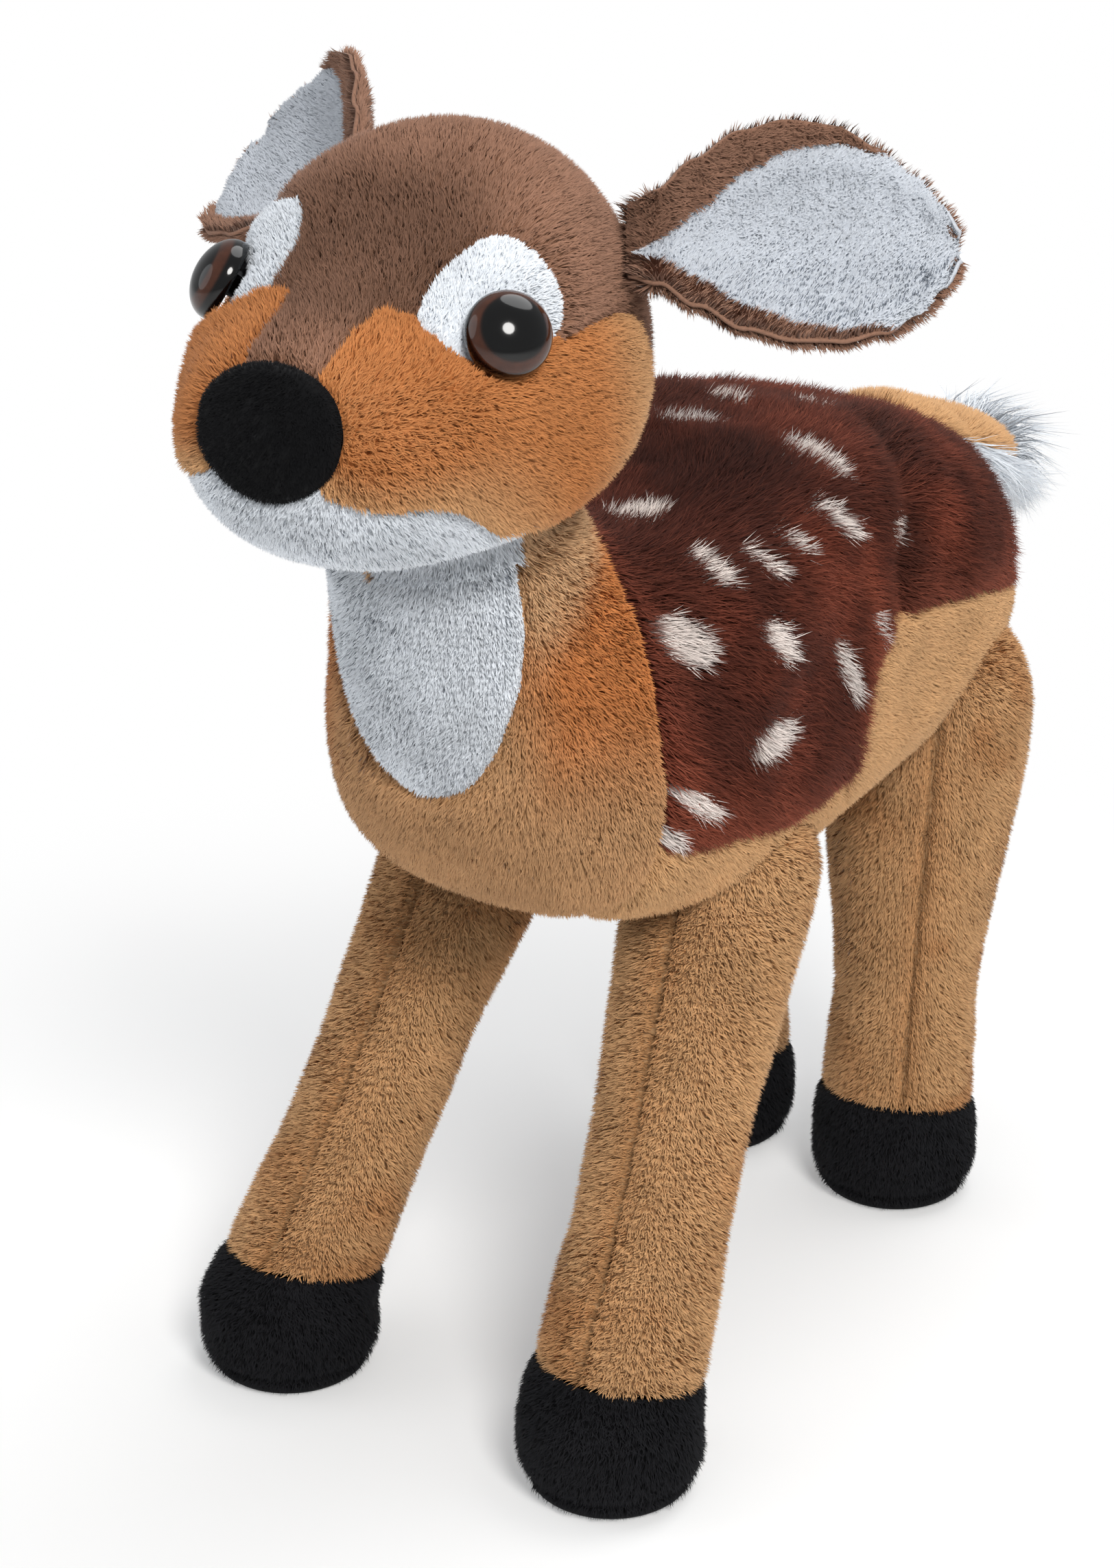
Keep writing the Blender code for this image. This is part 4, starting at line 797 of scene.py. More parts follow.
# Torso
def torso_pattern(s, u):
    """The torso's panels and the distance to the nearest seam."""
    front = s - line(CHEST_LINE, u)
    behind = front <= 0.0
    bib = (1.0 - u < line(BIB_HALF, s)) & (s > BIB_LOW)
    cover, belly = behind & (u < line(COVER_EDGE, s)), behind & (u > line(BELLY_EDGE, s))
    gaps = [seam_gap(s, CHEST_LINE, u, TORSO_RUN, TORSO_GIRTH),
            np.where(s > BIB_LOW, seam_gap(1.0 - u, BIB_HALF, s, 0.6 * TORSO_GIRTH, TORSO_RUN), FAR)]
    gaps += [np.where(front < 0.005, seam_gap(u, edge, s, TORSO_GIRTH, TORSO_RUN), FAR)
             for edge in (COVER_EDGE, BELLY_EDGE)]
    folded = (u > FOLD[0][0]) & (u < FOLD[-1][0])
    return dict(cover=cover, haunch=behind & ~cover & ~belly, belly=belly, chest=~behind & ~bib, bib=bib,
                seam=np.min(gaps, 0), spine=np.where(cover, u * TORSO_GIRTH, FAR),
                fold=np.where(folded, seam_gap(s, FOLD, u, TORSO_RUN, TORSO_GIRTH), FAR))


def spot_mask(p, n):
    """How much a point of the cover lies in one of its cream spots; depth under the surface doesn't count."""
    total = np.zeros(len(p))
    wobble = 0.18 * noise(p, 0.0045, 21) + 0.08 * noise(p, 0.0020, 22)
    for x1, y1, z1, x2, y2, z2, width in SPOTS:
        for side, label in SIDES:
            a = np.array([x1 * side, y1, z1]) / 1000.0 + SHIFT
            b = np.array([x2 * side, y2, z2]) / 1000.0 + SHIFT
            half = np.linalg.norm(b - a) / 2.0
            ahead = (b - a) / (2.0 * half)
            d = flattened(p - (a + b) / 2.0, n)
            lengthwise = d @ ahead
            across = np.linalg.norm(d - lengthwise[:, None] * ahead, axis=1)
            reach = (lengthwise / (1.06 * half)) ** 2 + (across / (1.14 * width / 2000.0)) ** 2
            near = np.linalg.norm(p - (a + b) / 2.0, axis=1) < 2.0 * half + 0.008
            spot = step(1.0 - np.sqrt(reach) + wobble, -0.12, 0.12)
            total = np.maximum(total, np.where(near, spot, 0.0))
            if abs(x1) < 8.0:   # a spot on the spine has no twin
                break
    return total


def torso_colours(s, u, p, n):
    """Root and tip colours of the torso's pile."""
    q = torso_pattern(s, u)
    low = np.maximum(step(0.182 - p[:, 2], 0.0, 0.035), step(u, 0.60, 0.80))[:, None]
    neck = (step(s, 0.90, 0.96) * (1.0 - step(u, 0.62, 0.75)))[:, None]
    chest = mixed(mixed(CHEST_TAN, CHEST_LOW, low), NECK_TAN, neck)
    root, tip = painted(p, q, dict(haunch=TAN, chest=chest, belly=WHITE, bib=WHITE), TORSO_ROOT_SHADE)
    c = q["cover"]
    blotch = step(noise(p, 0.018, 31) + 0.6 * noise(p, 0.007, 32), -0.5, 0.8)[:, None]
    edge = crease(q["seam"], 0.007)[:, None]
    spine = crease(q["spine"], 0.014)[:, None]
    light = np.clip(blotch * 0.75 + 0.5 * edge, 0.0, 1.0)
    base = COVER_DARK + (COVER_MID - COVER_DARK) * light * (1.0 - 0.4 * spine)
    # Painted shade in the fold's valley.
    base = base * (1.0 - 0.6 * crease(q["fold"], 0.005))[:, None]
    spots = spot_mask(p, n)[:, None]
    # The cover's roots are darker still: painted shade deep in its long pile.
    root[c] = mixed(base * 0.7, CREAM * 0.8, spots)[c]
    frosted = np.random.default_rng(34).random(len(p))[:, None] ** 2.0
    frost = np.clip(0.10 + 0.55 * frosted * (0.4 + 0.6 * blotch) + 0.25 * edge, 0.0, 0.9)
    tip[c] = mixed(base + (COVER_TIP - base) * frost, CREAM, spots)[c]
    return root, tip, q


def build_torso():
    def pins(gs, gt, grid):
        sewn = crease(torso_pattern(gs, round_share(gt))["seam"], 0.004)
        return np.maximum(np.maximum(sewn, step(gs, 0.93, 1.0)), 1.0 - step(gs, 0.0, 0.05))

    gs, gt, grid = swollen_form(torso_form, 1.0, 58, 64, pins)
    gu = round_share(gt)
    q = torso_pattern(gs, gu)
    lumps = 0.0006 * noise(grid, 0.022, 41) + 0.0003 * noise(grid, 0.009, 42)
    deep = np.where(q["cover"], step(q["seam"], 0.0, 0.005), 0.0)
    inset = SKIN_INSET + COVER_SINK * deep + 0.0014 * crease(q["seam"], 0.0016) - lumps
    inset = inset + np.where(q["cover"], FOLD_SINK * crease(q["fold"], 0.0036), 0.0)
    clear = tail_clear(grid) - 0.0006
    for leg in ALL_LEGS:
        clear = np.minimum(clear, -leg.inside(grid, 0.0010))
    fields = {"s": gs, "u": gu, "clear": clear}
    coat = Coat("torso_skin", "torso", "tan", grid, fields, True, inset, clear > 0.0)
    root = torso_colours(coat.fields["s"], coat.fields["u"], coat.verts, coat.normals)[0]
    skin = coat.skin(root, 0.85)
    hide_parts("torso_stuffing", "back_cover_left", "back_cover_right", "haunch_left", "haunch_right",
                "belly_panel", "chest_panel", "bib_panel")
    backwards = np.array([0.0, 0.8, -0.6])
    for number, (panel, density, length, slot_name, material, style) in enumerate(TORSO_PILES):
        found = coat.roots(density, 100 + number)
        found = only(found, found["clear"] > 0.0)
        lying = SPOT_SHIFT * unit(backwards - found["n"] * (found["n"] @ backwards)[:, None])
        root, tip, q = torso_colours(found["s"], found["u"], found["p"] + lying, found["n"])
        keep = q[panel]
        found, root, tip, seam = only(found, keep), root[keep], tip[keep], q["seam"][keep]
        neck = step(found["s"], 0.980, 0.998)
        comb = np.array([0.0, 0.10, -1.0]) if panel in ("chest", "bib") else backwards
        trim, reach = (0.45, 0.0025) if panel == "cover" else (0.50, 0.0014)
        short = 1.0 - trim * crease(seam, reach) + 0.4 * neck
        lay_pile("torso_pile_" + panel, "torso", slot_name, material, found, comb, length * short, root, tip,
                 200 + 10 * number, **dict(style, lie=style["lie"] * (1.0 - 0.6 * neck)))


# Head
PATCH_LINE = rounded(PATCH)


def head_pattern(s, u):
    """The head's panels and the distance to the nearest seam."""
    scale = HEAD_GIRTH / HEAD_RUN
    depth = depth_in(PATCH_LINE * [1.0, scale], s, u * scale) * HEAD_RUN
    patch = depth > 0.0
    crown = (u < line(CROWN_EDGE, s)) & ~patch
    chin = u > line(CHIN_EDGE, s)
    seam = np.minimum(seam_gap(u, CHIN_EDGE, s, HEAD_GIRTH, HEAD_RUN),
                      np.where(patch, FAR, seam_gap(u, CROWN_EDGE, s, HEAD_GIRTH, HEAD_RUN)))
    seam = np.minimum(np.minimum(seam, np.abs(depth)), np.abs(s - line(NOSE_EDGE, u)) * HEAD_RUN)
    return dict(crown=crown, chin=chin, cheek=~(patch | crown | chin), patch=patch, seam=seam)


def eye_place(side):
    """Where an eye sits on the head's form, and which way it looks."""
    s, t, d = np.array([EYE["along"]]), np.array([side * EYE["around"] * PI]), 0.004
    here = head_form(s, t)[0]
    across = head_form(s, t + d)[0] - head_form(s, t - d)[0]
    along = head_form(s + d, t)[0] - head_form(s - d, t)[0]
    out = unit(np.cross(across, along))
    middle = head_form(s, np.array([0.0]))[0] + head_form(s, np.array([PI]))[0]
    return here, out if np.dot(out, here - middle / 2.0) > 0.0 else -out


def head_colours(s, u, p):
    """Root and tip colours of the head's pile."""
    q = head_pattern(s, u)
    under = step(u, 0.58, 0.76)[:, None]
    nape = step(p[:, 1], SHIFT_Y - 0.085, SHIFT_Y - 0.060)[:, None]
    rust = step(noise(p, 0.020, 52), -0.2, 0.8)[:, None]
    cheek = CHEEK + (TAN - CHEEK) * np.maximum(0.9 * under, 0.8 * nape) + (TAN - CHEEK) * 0.22 * rust
    muzzle = step(s, 0.74, 0.84)[:, None]
    # The crown darker between the eyes, fading out over the muzzle: painted shade of the brow's folds.
    crown = CROWN * (1.0 - 0.34 * step(s, 0.50, 0.60)[:, None] * (1.0 - muzzle))
    root, tip = painted(p, q, dict(crown=crown, cheek=cheek, chin=WHITE, patch=WHITE), HEAD_ROOT_SHADE)
    return root, tip, q


def build_head():
    eyes = {side: eye_place(side) for side, label in SIDES}

    def eye_gap(p):
        return np.minimum(*(np.linalg.norm(p - eyes[side][0], axis=-1) for side in eyes))

    def pins(gs, gt, grid):
        sewn = crease(head_pattern(gs, round_share(gt))["seam"], 0.003)
        held = np.maximum(sewn, 1.0 - step(gs, 0.0, 0.06))
        return np.maximum(held, 1.0 - step(eye_gap(grid), 0.008, 0.013))

    end = max(value for place, value in NOSE_EDGE)
    gs, gt, grid = swollen_form(head_form, end, 40, 56, pins, pressure=3.0, cap=0.0018)
    gu = round_share(gt)
    q = head_pattern(gs, gu)
    eye_away = eye_gap(grid)
    inset = SKIN_INSET + 0.0011 * crease(q["seam"], 0.0014) - 0.0004 * noise(grid, 0.018, 61)
    inset = inset + EYE_LIP * (1.0 - step(eye_away, 0.009, 0.014)) + 0.0005 * q["crown"]
    clear = np.minimum(eye_away - EYE["hole"], (line(NOSE_EDGE, gu) - gs) * HEAD_RUN)
    for side, label in SIDES:
        clear = np.minimum(clear, ear_clear(side, grid) - 0.0004)
    fields = {"s": gs, "u": gu, "clear": clear, "eye": eye_away - EYE["hole"]}
    coat = Coat("head_skin", "head", "cheek", grid, fields, True, inset, clear > -0.0010)
    root = head_colours(coat.fields["s"], coat.fields["u"], coat.verts)[0]
    skin = coat.skin(root, 0.9)
    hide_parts("head_stuffing", "crown_panel", "chin_panel", "cheek_left", "cheek_right",
                "eye_patch_left", "eye_patch_right")
    for number, (name, keys, density, length, slot_name, material, style) in enumerate(HEAD_PILES):
        found = coat.roots(density, 300 + number)
        found = only(found, found["clear"] > 0.0)
        root, tip, q = head_colours(found["s"], found["u"], found["p"])
        keep = np.any([q[key] for key in keys], axis=0)
        found, root, tip, seam = only(found, keep), root[keep], tip[keep], q["seam"][keep]
        neck = 1.0 - step(found["s"], 0.005, 0.03)
        comb = mixed(np.array([0.0, 1.0, -0.35]), np.array([0.0, 0.2, -1.0]), neck[:, None])
        near_eye = 1.0 - step(found["eye"], 0.0, 0.004)
        near_ear = 1.0 - step(np.minimum(*(ear_clear(side, found["p"]) for side, label in SIDES)), 0.0, 0.003)
        short = (1.0 - 0.5 * crease(seam, 0.0012)) * (1.0 - 0.45 * near_eye) * (1.0 + 0.5 * near_ear)
        short = short + 0.5 * neck
        lay_pile("head_pile_" + name, "head", slot_name, material, found, comb, length * short, root, tip,
                 400 + 10 * number, width=FIBRE, **style)
    build_nose()
    for side, label in SIDES:
        build_eye(label, *eyes[side])


def build_nose():
    """A brushed felt pad that closes the muzzle, turned in at its sewn edge."""
    around = turns(96)
    part, gt = lattice(np.linspace(0.0, 1.0, 24), around)
    start = line(NOSE_EDGE, round_share(gt)) + 0.003
    gs = start + (1.0 - start) * part
    grid = head_form(gs, gt)
    tuck = crease((gs - start) * HEAD_RUN, 0.0016)
    inset = 0.0008 + 0.0014 * tuck - 0.00015 * noise(grid, 0.006, 71)
    grid = grid - grid_normals(grid, True) * inset[..., None]
    end = grid[-1]
    middle = end.mean(0)
    rings = (0.80, 0.60, 0.40, 0.20, 0.01)
    caps = [middle + (end - middle) * k + np.array([0.0, -0.0012 * (1.0 - k * k), 0.0]) for k in rings]
    grid = np.concatenate([grid, np.array(caps)])
    grid[..., 1] = np.maximum(grid[..., 1], HEAD["rear"] + SHIFT_Y - 1.019 * HEAD["length"])
    normals = grid_normals(grid, True)
    normals[-len(rings):] = unit(normals[-len(rings):] * 0.2 + np.array([0.0, -1.0, 0.05]))
    fields = {"s": np.broadcast_to(np.linspace(0.0, 1.0, len(grid))[:, None], grid.shape[:2]),
              "u": np.broadcast_to(around, grid.shape[:2])}
    coat = Coat("nose_felt", "head", "black", grid, fields, True, 0.0, normals=normals)
    obj = coat.skin(BLACK * 0.8, 0.9, 0.0010)
    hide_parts("nose_pad")
    found = coat.roots(9.0e6, 450)
    tuck = crease(found["s"] * 0.012, 0.0008)
    # The fuzz's darker roots are painted shade deep in the pile.
    lay_pile("nose_fuzz", "head", "black", PILE_BLACK, found, np.array([0.0, 0.7, -0.7]),
             0.0010 * (1.0 - 0.4 * tuck), BLACK * 0.7, BLACK, 460, width=0.00016, lie=0.7, clump=0.2,
             cell=0.0012)


def build_eye(label, seat, out):
    """A polished dome with a black pupil in a brown ring."""
    out = unit(out)
    side = unit(np.cross(out, [0.0, 0.0, 1.0]))
    up = np.cross(side, out)
    count, steps = 64, 32
    profile = [(0.0024, -0.0127), (0.0024, -0.0012), (0.0086, -0.0012), (0.0088, -0.0008)]
    for k in range(steps + 1):
        angle = 0.5 * PI * k / steps
        profile.append((EYE["radius"] * math.cos(angle), EYE["rise"] * math.sin(angle)))
    rows = [(max(r, 0.00002), h - EYE["sink"]) for r, h in profile]
    obj = grid_mesh("eye_dome_" + label, lathe(seat, side, up, out, rows, count))
    place = np.array([[r / EYE["radius"]] * count for r, h in profile]).ravel()
    iris = step(place, 0.72, 0.80)[:, None] * (1.0 - step(place, 0.93, 0.97)[:, None])
    colour_points(obj, mixed(PUPIL, IRIS, iris))
    made, tree, shader = node_material("eye_gloss_" + label, 0.12, 0.0, 0.5, 0.25)
    shader.inputs["Coat Weight"].default_value = 0.35
    shader.inputs["Coat Roughness"].default_value = 0.03
    paint(tree, shader, product(tree, point_colour(tree), ramp(tree, texture(tree, 400.0, 2.0), 0.8, 1.2)))
    dress(obj, "head", made)
    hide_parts("eye_" + label)


# Neck
def build_neck():
    count, steps, radius = 48, 25, 0.0212
    centre = NECK + SHIFT
    angles = [PI * (k + 0.25) / (steps - 0.5) for k in range(steps)]
    profile = [(radius * math.sin(a), radius * math.cos(a)) for a in angles]
    obj = grid_mesh("neck_plug", lathe(centre, ASIDE, REARWARD, UP, profile, count))
    front = step(-np.sin(np.tile(turns(count), steps)), 0.35, 0.65)[:, None]
    colour_points(obj, mixed(TAN, WHITE, front))
    dress(obj, "neck", SKIN)
    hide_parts("neck_stuffing")
    build_collar(centre)


def build_collar(centre):
    """The plush that closes the neck, between the neck below and the head above."""
    axis = NECK_AXIS
    height, gt = lattice(np.linspace(-1.0, 1.0, 9), turns(96))
    radius = (NECK_RIM - 0.0002 - 0.0005 * (1.0 - height ** 2))[..., None]
    radial = ASIDE * np.sin(gt)[..., None] - NECK_BACK * np.cos(gt)[..., None]
    grid = centre + radial * radius + axis * (height * (NECK_HALF_GAP - 0.0005))[..., None]
    coat = Coat("neck_collar", None, "white", grid, {"s": height, "t": gt}, True, 0.0)
    front = step(np.cos(coat.fields["t"]), 0.28, 0.36)[:, None]
    pieces = [coat.skin(mixed(NECK_TAN, WHITE, front), 0.9)]
    found = coat.roots(7.5e6, 50, "t", "s")
    front = np.cos(found["t"]) > 0.32
    for label, slot_name, material, keep, colour, softness in (
            ("front", "white", PILE_WHITE, front, WHITE, 0.95),
            ("back", "tan", PILE, ~front, NECK_TAN, 0.80)):
        pieces += lay_pile("neck_pile_" + label, None, slot_name, material, only(found, keep), DOWN, 0.0026,
                           colour * 0.95, colour, 60, width=FIBRE, lie=0.35, clump=0.25, softness=softness)
    for piece in pieces:
        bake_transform(piece)


# Legs
def hoof_tilt(z, turn):
    """How much the hoof's seam is lifted in front and lowered behind, fading out above and below."""
    weight = np.where(z > HOOF_HEIGHT, 1.0 - step(z, HOOF_HEIGHT, 0.060), step(z, 0.004, HOOF_HEIGHT))
    return -np.sin(turn) * 0.0034 * weight


def leg_points(leg, gz, gt):
    high = gz + hoof_tilt(gz, gt)
    middle, radius = leg.middle(high), leg.radius(gz)
    return np.stack([middle[..., 0] + radius * np.cos(gt), middle[..., 1] + radius * np.sin(gt), high], -1)


def sewn_leg(z):
    """0 at the hoof's seam and 1 from a little above it."""
    return step(z, HOOF_HEIGHT, HOOF_HEIGHT + SEWN_RUN)


def build_leg(leg, torso_tree, number):
    """A leg's sleeve. It ends inside the torso, where the torso's form gives the distance."""
    ball = [leg.hip[2] + leg.ball * math.cos(a) for a in np.linspace(0.06, PI / 2.0, 16)]
    z = np.array(ball + list(np.linspace(leg.hip[2], HOOF_HEIGHT, 90)[1:]))
    gz, gt = lattice(z, turns(128))
    grid = leg_points(leg, gz, gt)
    seam_turn = 1.5 * PI + (0.0 if leg.pair == "front" else 0.6 * leg.side)
    seam = np.full(gz.shape, FAR)
    for turn in (seam_turn, 0.5 * PI):
        beside = (gt - turn + PI) % (2.0 * PI) - PI
        seam = np.where(np.abs(beside) * LEG_RADIUS < np.abs(seam), beside * LEG_RADIUS, seam)
    held = np.maximum(step(gz, leg.hip[2] - 0.01, leg.hip[2] + 0.01), 1.0 - sewn_leg(gz))
    pins = np.maximum(crease(seam, 0.003), held)[:, ::4].clip(PIN_LEAST, 1.0)
    coarse = billow(grid[:, ::4], True, pins, pressure=3.0, cap=0.0014) - grid[:, ::4]
    grid = grid + finer(coarse, 4, True)[::4]
    lumps = 0.0005 * noise(grid * np.array([1.0, 1.0, 0.7]), 0.016, 81 + number)
    inset = 0.0014 + 0.0014 * crease(seam, 0.0010) * sewn_leg(gz) - lumps
    inset = inset + 0.0006 * crease(gz - HOOF_HEIGHT, 0.0016)
    clear = np.empty(gz.size)
    for index, point in enumerate(grid.reshape(-1, 3)):
        nearest = torso_tree.find_nearest(Vector(point))
        clear[index] = (Vector(point) - nearest[0]).dot(nearest[1])
    clear = clear.reshape(gz.shape)
    fields = {"z": gz, "t": gt, "seam": seam, "clear": clear,
              "aside": np.stack([-np.sin(gt), np.cos(gt), np.zeros_like(gt)], -1)}
    coat = Coat("leg_skin_" + leg.label, leg.body, "tan", grid, fields, True, inset, clear > -0.008)
    # The skin's darker tan is painted shade under the pile.
    skin = coat.skin(TAN * 0.8, 0.9)
    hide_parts("leg_%s_stuffing" % leg.label, "leg_%s_sleeve" % leg.label)
    found = coat.roots(LEG_DENSITY, 500 + number, "t", "z")
    found = only(found, found["clear"] > -0.0015)
    parting = crease(found["seam"], 0.0016) * sewn_leg(found["z"])
    shade = (1.0 - 0.42 * crease(found["seam"], 0.0007))[:, None]
    comb = DOWN + found["aside"] * (1.2 * np.sign(found["seam"]) * parting)[:, None]
    patchy = noise(found["p"], 0.022, 85 + number) + 0.5 * noise(found["p"], 0.008, 86)
    # Rust-coloured patches are the fabric's own tone; the rust tone along the seams is painted shade.
    rust_tone_and_seam_shade = np.maximum(0.55 * step(patchy, 0.0, 0.9), 0.35 * crease(found["seam"], 0.004))[:, None]
    colour = mixed(TAN, RUST, rust_tone_and_seam_shade) * shade
    lay_pile("leg_pile_" + leg.label, leg.body, "tan", PILE, found, comb, 0.0028 * (1.0 - 0.50 * parting),
             colour * TORSO_ROOT_SHADE, colour, 600 + 10 * number, width=TAN_FIBRE)
    build_hoof(leg, number)
    build_sole(leg)


def build_hoof(leg, number):
    gz, gt = lattice(np.linspace(HOOF_HEIGHT - 0.0002, 0.0016, 44), turns(128))
    grid = leg_points(leg, gz, gt)
    sole_seam = np.abs(gz - SOLE_SEAM)
    inset = (0.0008 + 0.0010 * crease(sole_seam, 0.0010) + 0.0005 * crease(gz - HOOF_HEIGHT, 0.0014)
             + 0.0016 * step(0.006 - gz, 0.0, 0.006) - 0.0003 * noise(grid, 0.008, 91 + number))
    fields = {"z": gz, "t": gt, "seam": sole_seam}
    hoof = Coat("hoof_skin_" + leg.label, leg.body, "black", grid, fields, True, inset)
    skin = hoof.skin(BLACK, 0.9)
    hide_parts("hoof_" + leg.label)
    found = hoof.roots(LEG_DENSITY, 700 + number, "t", "z")
    length = 0.0026 * (1.0 - 0.5 * crease(found["seam"], 0.0009)) * step(found["z"], -0.003, 0.004)
    # The darker roots are painted shade deep in the pile.
    lay_pile("hoof_pile_" + leg.label, leg.body, "black", PILE_BLACK, found, DOWN, length, BLACK * 0.6,
             BLACK * 2.4, 800 + 10 * number, width=0.00024, lie=0.8, clump=0.35, cell=0.0018)


def build_sole(leg):
    radius = HOOF_RADIUS * 0.95 - 0.0008
    centre = np.append(leg.middle(np.array([0.0]))[0], 0.0)
    rows = [(radius * k, 0.0) for k in (0.001, 0.4, 0.8, 0.96)]
    rows += [(radius, 0.0006), (radius, 0.0020), (radius * 0.9, 0.0028), (radius * 0.001, 0.0028)]
    obj = grid_mesh("sole_pad_" + leg.label, lathe(centre, ASIDE, REARWARD, UP, rows, 64))
    colour_points(obj, np.broadcast_to(BLACK * 1.2, (len(obj.data.vertices), 3)))
    dress(obj, leg.body, SKIN)
    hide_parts("sole_" + leg.label)


# Ears
def ear_points(side, a, c, depth):
    """Points of the cupped ear at shares along and across it."""
    along, across, facing = ear_axes(side)
    place = np.minimum(a + EAR["start"], 1.0) / (1.0 + EAR["start"])
    cup = EAR["cup"] * c ** 2 * np.sin(PI * place)
    return (ear_root(side) + along * (a * EAR["length"])[..., None] + across * (ear_half(a) * c)[..., None]
            + facing * (cup - depth)[..., None])


def ear_close(a):
    """1 where an ear's pile lies back against the head, at its root, and 0 further out."""
    return 1.0 - step(a, 0.03, 0.12)


def open_normals(grid, facing):
    """Normals of an open grid, on the side that it faces."""
    normals = grid_normals(grid, False)
    return normals if np.sum(normals * facing) > 0.0 else -normals


def build_ear(side, label):
    body = "ear_" + label
    along, across, facing = ear_axes(side)
    ga, gc = lattice(np.linspace(0.0, 1.0, 90), np.linspace(-1.0, 1.0, 72))
    edge = np.sqrt(np.clip(1.0 - np.abs(gc) ** 4, 0.0, None))
    full = ear_points(side, ga, gc * 0.985, 0.0012 + 0.0013 * edge)
    coat = Coat("ear_shell_" + label, body, "crown", full, {"a": ga, "c": gc}, False, 0.0,
                normals=open_normals(full, -facing))
    # The shell's darker brown is painted shade under the pile.
    skin = coat.skin(CROWN * 0.8, 0.2)
    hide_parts("ear_back_" + label)
    found = coat.roots(EAR_DENSITY, 900, "c", "a")
    found = only(found, found["a"] > EAR_BARE)
    # The back's pile bends over the rim, and at the root it lies against the head
    edge = np.maximum(step(np.abs(found["c"]), 0.85, 1.0), step(found["a"], 0.95, 1.0))
    over = across * (np.sign(found["c"]) * edge * 0.6)[:, None]
    found["n"] = unit(found["n"] + facing * (1.3 * edge)[:, None] + over)
    close = ear_close(found["a"])
    found["n"] = unit(found["n"] - along * (0.9 * close)[:, None])
    comb = along * (1.0 - 2.0 * close)[:, None] + across * (0.25 * found["c"])[:, None]
    # The darker roots are painted shade deep in the pile.
    lay_pile("ear_pile_back_" + label, body, "crown", PILE, found, comb, 0.0026 * (1.0 + 0.5 * close),
             CROWN * 0.8, CROWN, 910, width=FIBRE)
    fraction = line(LINING_SHARES, ga)
    gap = (fraction - np.abs(gc)) * 0.5 * EAR["width"] * share(EAR_OUTLINE, ga)   # metres inside the lining
    bowl = np.clip(1.0 - (gc / np.maximum(fraction, 0.1)) ** 2, 0.0, 1.0)
    bowl = bowl * np.sin(PI * np.clip(ga * 1.15, 0.0, 1.0))
    swell = 0.0014 * step(gap, 0.0, 0.005) - 0.0024 * bowl - 0.0008 * crease(gap, 0.0012)
    front = ear_points(side, ga, gc * 0.975, -0.0004 - swell - 0.0003 * noise(full, 0.014, 95))
    fields = {"a": ga, "c": gc, "gap": gap}
    lining = Coat("ear_lining_skin_" + label, body, "white", front, fields, False, 0.0,
                  normals=open_normals(front, facing))
    white = step(lining.fields["gap"], -0.0002, 0.0002)[:, None]
    # The lining's white is the darker copy of the white, painted shade of the hollow.
    skin = lining.skin(mixed(CROWN, SHADED_LINING_WHITE, white), 0.2, 0.0008)
    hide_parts("ear_lining_" + label)
    found = lining.roots(EAR_DENSITY, 920, "c", "a")
    found = only(found, found["a"] > EAR_BARE)
    inner = only(found, found["gap"] > 0.0)
    comb = along + across * (0.4 * inner["c"])[:, None]
    lay_pile("ear_pile_lining_" + label, body, "white", PILE_WHITE, inner, comb,
             0.0013 * (1.0 - 0.30 * crease(inner["gap"], 0.0010)), SHADED_LINING_WHITE * 0.98, SHADED_LINING_WHITE, 930, width=FIBRE,
             lie=0.40, clump=0.20, tone_spread=0.03, softness=0.97)
    band = only(found, found["gap"] <= 0.0)
    close = ear_close(band["a"])
    band["n"] = unit(band["n"] - along * (0.9 * close)[:, None])
    comb = along * (1.0 - 2.0 * close)[:, None] + across * (0.9 * np.sign(band["c"]))[:, None]
    # The darker roots are painted shade deep in the pile.
    lay_pile("ear_pile_front_" + label, body, "crown", PILE, band, comb, 0.0024, CROWN * 0.8, CROWN, 940,
             width=FIBRE)


# Tail
def build_tail():
    along, out, root = tail_axes()
    ga, gt = lattice(np.linspace(0.0, 1.0, 48), turns(64))
    width = share(TAIL_OUTLINE, ga)
    close = np.sqrt(np.clip(1.0 - step(ga, 0.9, 1.0) * 0.9, 0.0, 1.0))
    half, thick = TAIL["half"] * width * close, 0.5 * TAIL["thick"] * np.sqrt(width) * close
    waist = 0.0022 * crease(ga - 0.42, 0.07) * step(np.sin(gt), -0.2, 0.5)
    grid = (root + along * (TAIL["length"] * ga)[..., None] + ASIDE * (half * np.cos(gt))[..., None]
            + out * (thick * np.sin(gt))[..., None])
    fields = {"a": ga, "t": gt, "up": np.sin(gt)}
    coat = Coat("tail_skin", "tail", "tan", grid, fields, True, 0.0018 + waist)
    # The top's darker tan is painted shade under the pile.
    skin = coat.skin(np.where(coat.fields["up"][:, None] > 0.0, TAN * 0.8, WHITE), 0.7)
    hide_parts("tail_top", "tail_underside")
    found = coat.roots(6.0e6, 1000, "t", "a")
    top = (found["up"] > -0.05) & (found["a"] < 0.86)
    # The darker roots are painted shade deep in the pile.
    lay_pile("tail_pile_top", "tail", "tan", PILE, only(found, top & (found["a"] > 0.12)), along, 0.0034,
             TAN * [0.86, 0.76, 0.62], TAN, 1010)
    white = only(found, ~top & (found["a"] > 0.10))
    comb = along * 0.8 + ASIDE * (white["p"][:, :1] * 40.0) - out * 0.55
    lay_pile("tail_pile_fluff", "tail", "white", PILE_WHITE, white, comb, 0.0185 * (0.7 + 0.3 * white["a"]),
             WHITE * 0.98, WHITE, 1020, width=0.00034, lie=0.85, clump=0.30, cell=0.0040, jitter=0.45,
             softness=0.85)


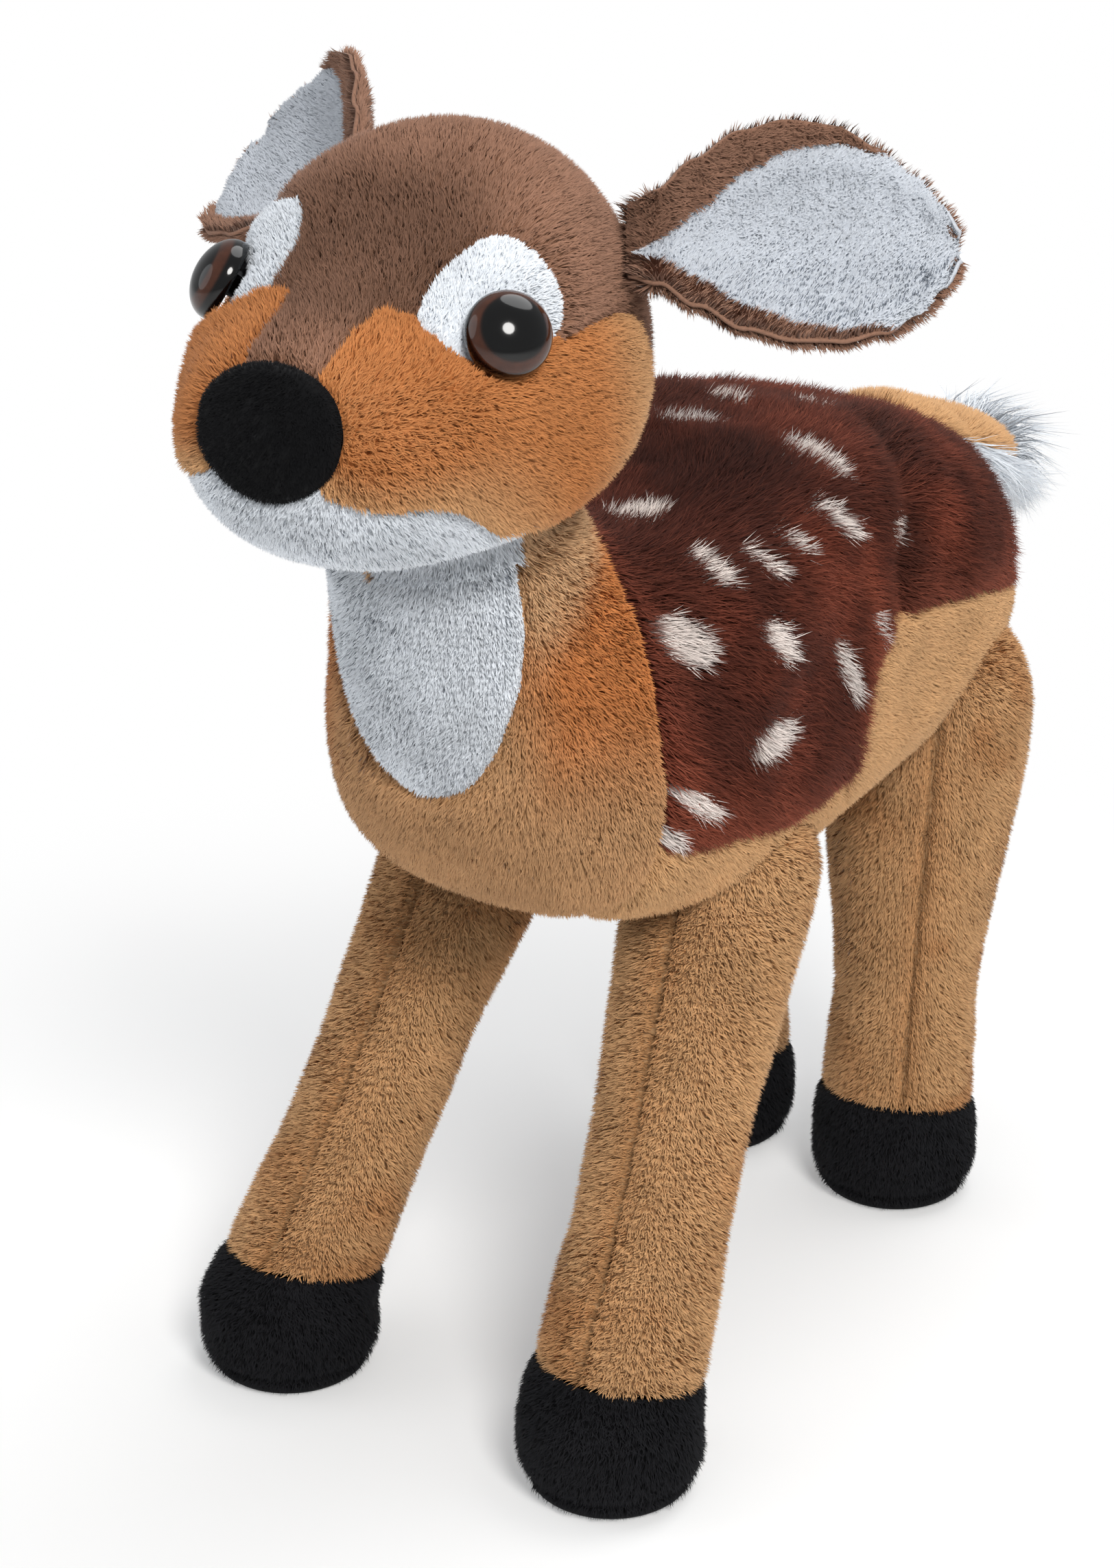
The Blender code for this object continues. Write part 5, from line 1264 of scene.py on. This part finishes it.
# Studio
def choose(tree, seen, first, second, target):
    """The second shader where the socket is 1, the first elsewhere, into the target."""
    mix = add_node(tree, "ShaderNodeMixShader", {0: seen, 1: first.outputs[0], 2: second.outputs[0]})
    tree.links.new(mix.outputs[0], tree.nodes[target].inputs["Surface"])


def camera_ray(tree):
    return add_node(tree, "ShaderNodeLightPath").outputs["Is Camera Ray"]


def build_floor():
    """A white floor that shows the toy's shadow near it and is pure white to the camera further off."""
    signs = ((-1, -1), (1, -1), (1, 1), (-1, 1))
    corners = [[x * FLOOR_REACH, y * FLOOR_REACH, -FLOOR_DROP] for x, y in signs]
    floor = new_mesh("studio_floor", np.array(corners), np.array([[0, 1, 2, 3]]))
    made, tree, shader = node_material("studio_paper", 1.0, 0.0, 0.5, 0.0)
    paint(tree, shader, ramp(tree, texture(tree, 3.0), 0.90, 0.93))
    place = add_node(tree, "ShaderNodeTexCoord").outputs["Object"]
    away = add_node(tree, "ShaderNodeVectorMath", {0: place}, operation="LENGTH").outputs["Value"]
    fade = add_node(tree, "ShaderNodeMapRange", {"From Min": FLOOR_FADE[0], "From Max": FLOOR_FADE[1],
                                                 "To Min": FLOOR_WHITE, "Value": away},
                    interpolation_type="SMOOTHSTEP").outputs["Result"]
    seen = add_node(tree, "ShaderNodeMath", {0: camera_ray(tree), 1: fade}, operation="MULTIPLY").outputs[0]
    glow = add_node(tree, "ShaderNodeEmission", {"Color": PURE_WHITE})
    choose(tree, seen, shader, glow, "Material Output")
    floor.data.materials.append(made)


def build_studio():
    scene = bpy.context.scene
    scene.view_settings.view_transform = "Standard"
    scene.world = bpy.data.worlds.new("studio")
    scene.world.use_nodes = True
    tree = scene.world.node_tree
    ambient = tree.nodes["Background"]
    ambient.inputs["Color"].default_value = AMBIENT
    ambient.inputs["Strength"].default_value = AMBIENT_POWER
    white = add_node(tree, "ShaderNodeBackground", {"Color": PURE_WHITE})
    choose(tree, camera_ray(tree), ambient, white, "World Output")
    build_floor()
    for name, place, size, power, tint in LAMPS:
        data = bpy.data.lights.new(name, "AREA")
        data.shape, data.size, data.energy, data.color = "DISK", size, power, tint
        lamp = bpy.data.objects.new(name, data)
        scene.collection.objects.link(lamp)
        lamp.location = place
        lamp.rotation_euler = (Vector(LAMP_TARGET) - lamp.location).to_track_quat("-Z", "Y").to_euler()
    azimuth, elevation = math.radians(CAMERA["azimuth"]), math.radians(CAMERA["elevation"])
    away = Vector((math.sin(azimuth) * math.cos(elevation), -math.cos(azimuth) * math.cos(elevation),
                   math.sin(elevation)))
    right = (-away).cross(Vector(UP)).normalized()
    place = Vector(CAMERA["place"]) + Vector(SHIFT)
    data = bpy.data.cameras.new("photo_view")
    camera = bpy.data.objects.new("photo_view", data)
    scene.collection.objects.link(camera)
    turn = Matrix((right, right.cross(-away), away)).transposed()
    camera.matrix_world = Matrix.Translation(place) @ turn.to_4x4()
    data.sensor_fit = "VERTICAL"
    data.sensor_height = SENSOR
    data.lens = CAMERA["focal"] / CAMERA["height"] * SENSOR
    scene.camera = camera


def torso_surface():
    """The torso's form as a tree that finds the nearest point of it."""
    grid = torso_form(*lattice(np.linspace(0.0, 1.0, 80), turns(64)))
    verts, faces = grid.reshape(-1, 3), grid_faces(80, 64, True)
    faces = faced(verts, faces, verts[faces[:, 0]] - verts.mean(0))
    return BVHTree.FromPolygons([Vector(p) for p in verts], faces.tolist())


def build_washer(label):
    """The solid of an eye's washer, shown as it is, with a material."""
    washer = frame["nodes"]["eye_washer_" + label]
    made, tree, shader = node_material("washer_" + label, 0.45, 0.0, 0.5, 0.5)
    paint(tree, shader, ramp(tree, texture(tree, 300.0), 0.62, 0.72))
    washer.data.materials.clear()
    washer.data.materials.append(made)


def main():
    build_torso()
    build_neck()
    build_head()
    tree = torso_surface()
    for number, leg in enumerate(ALL_LEGS):
        build_leg(leg, tree, number)
    for side, label in SIDES:
        build_ear(side, label)
        build_washer(label)
    build_tail()
    build_studio()


main()
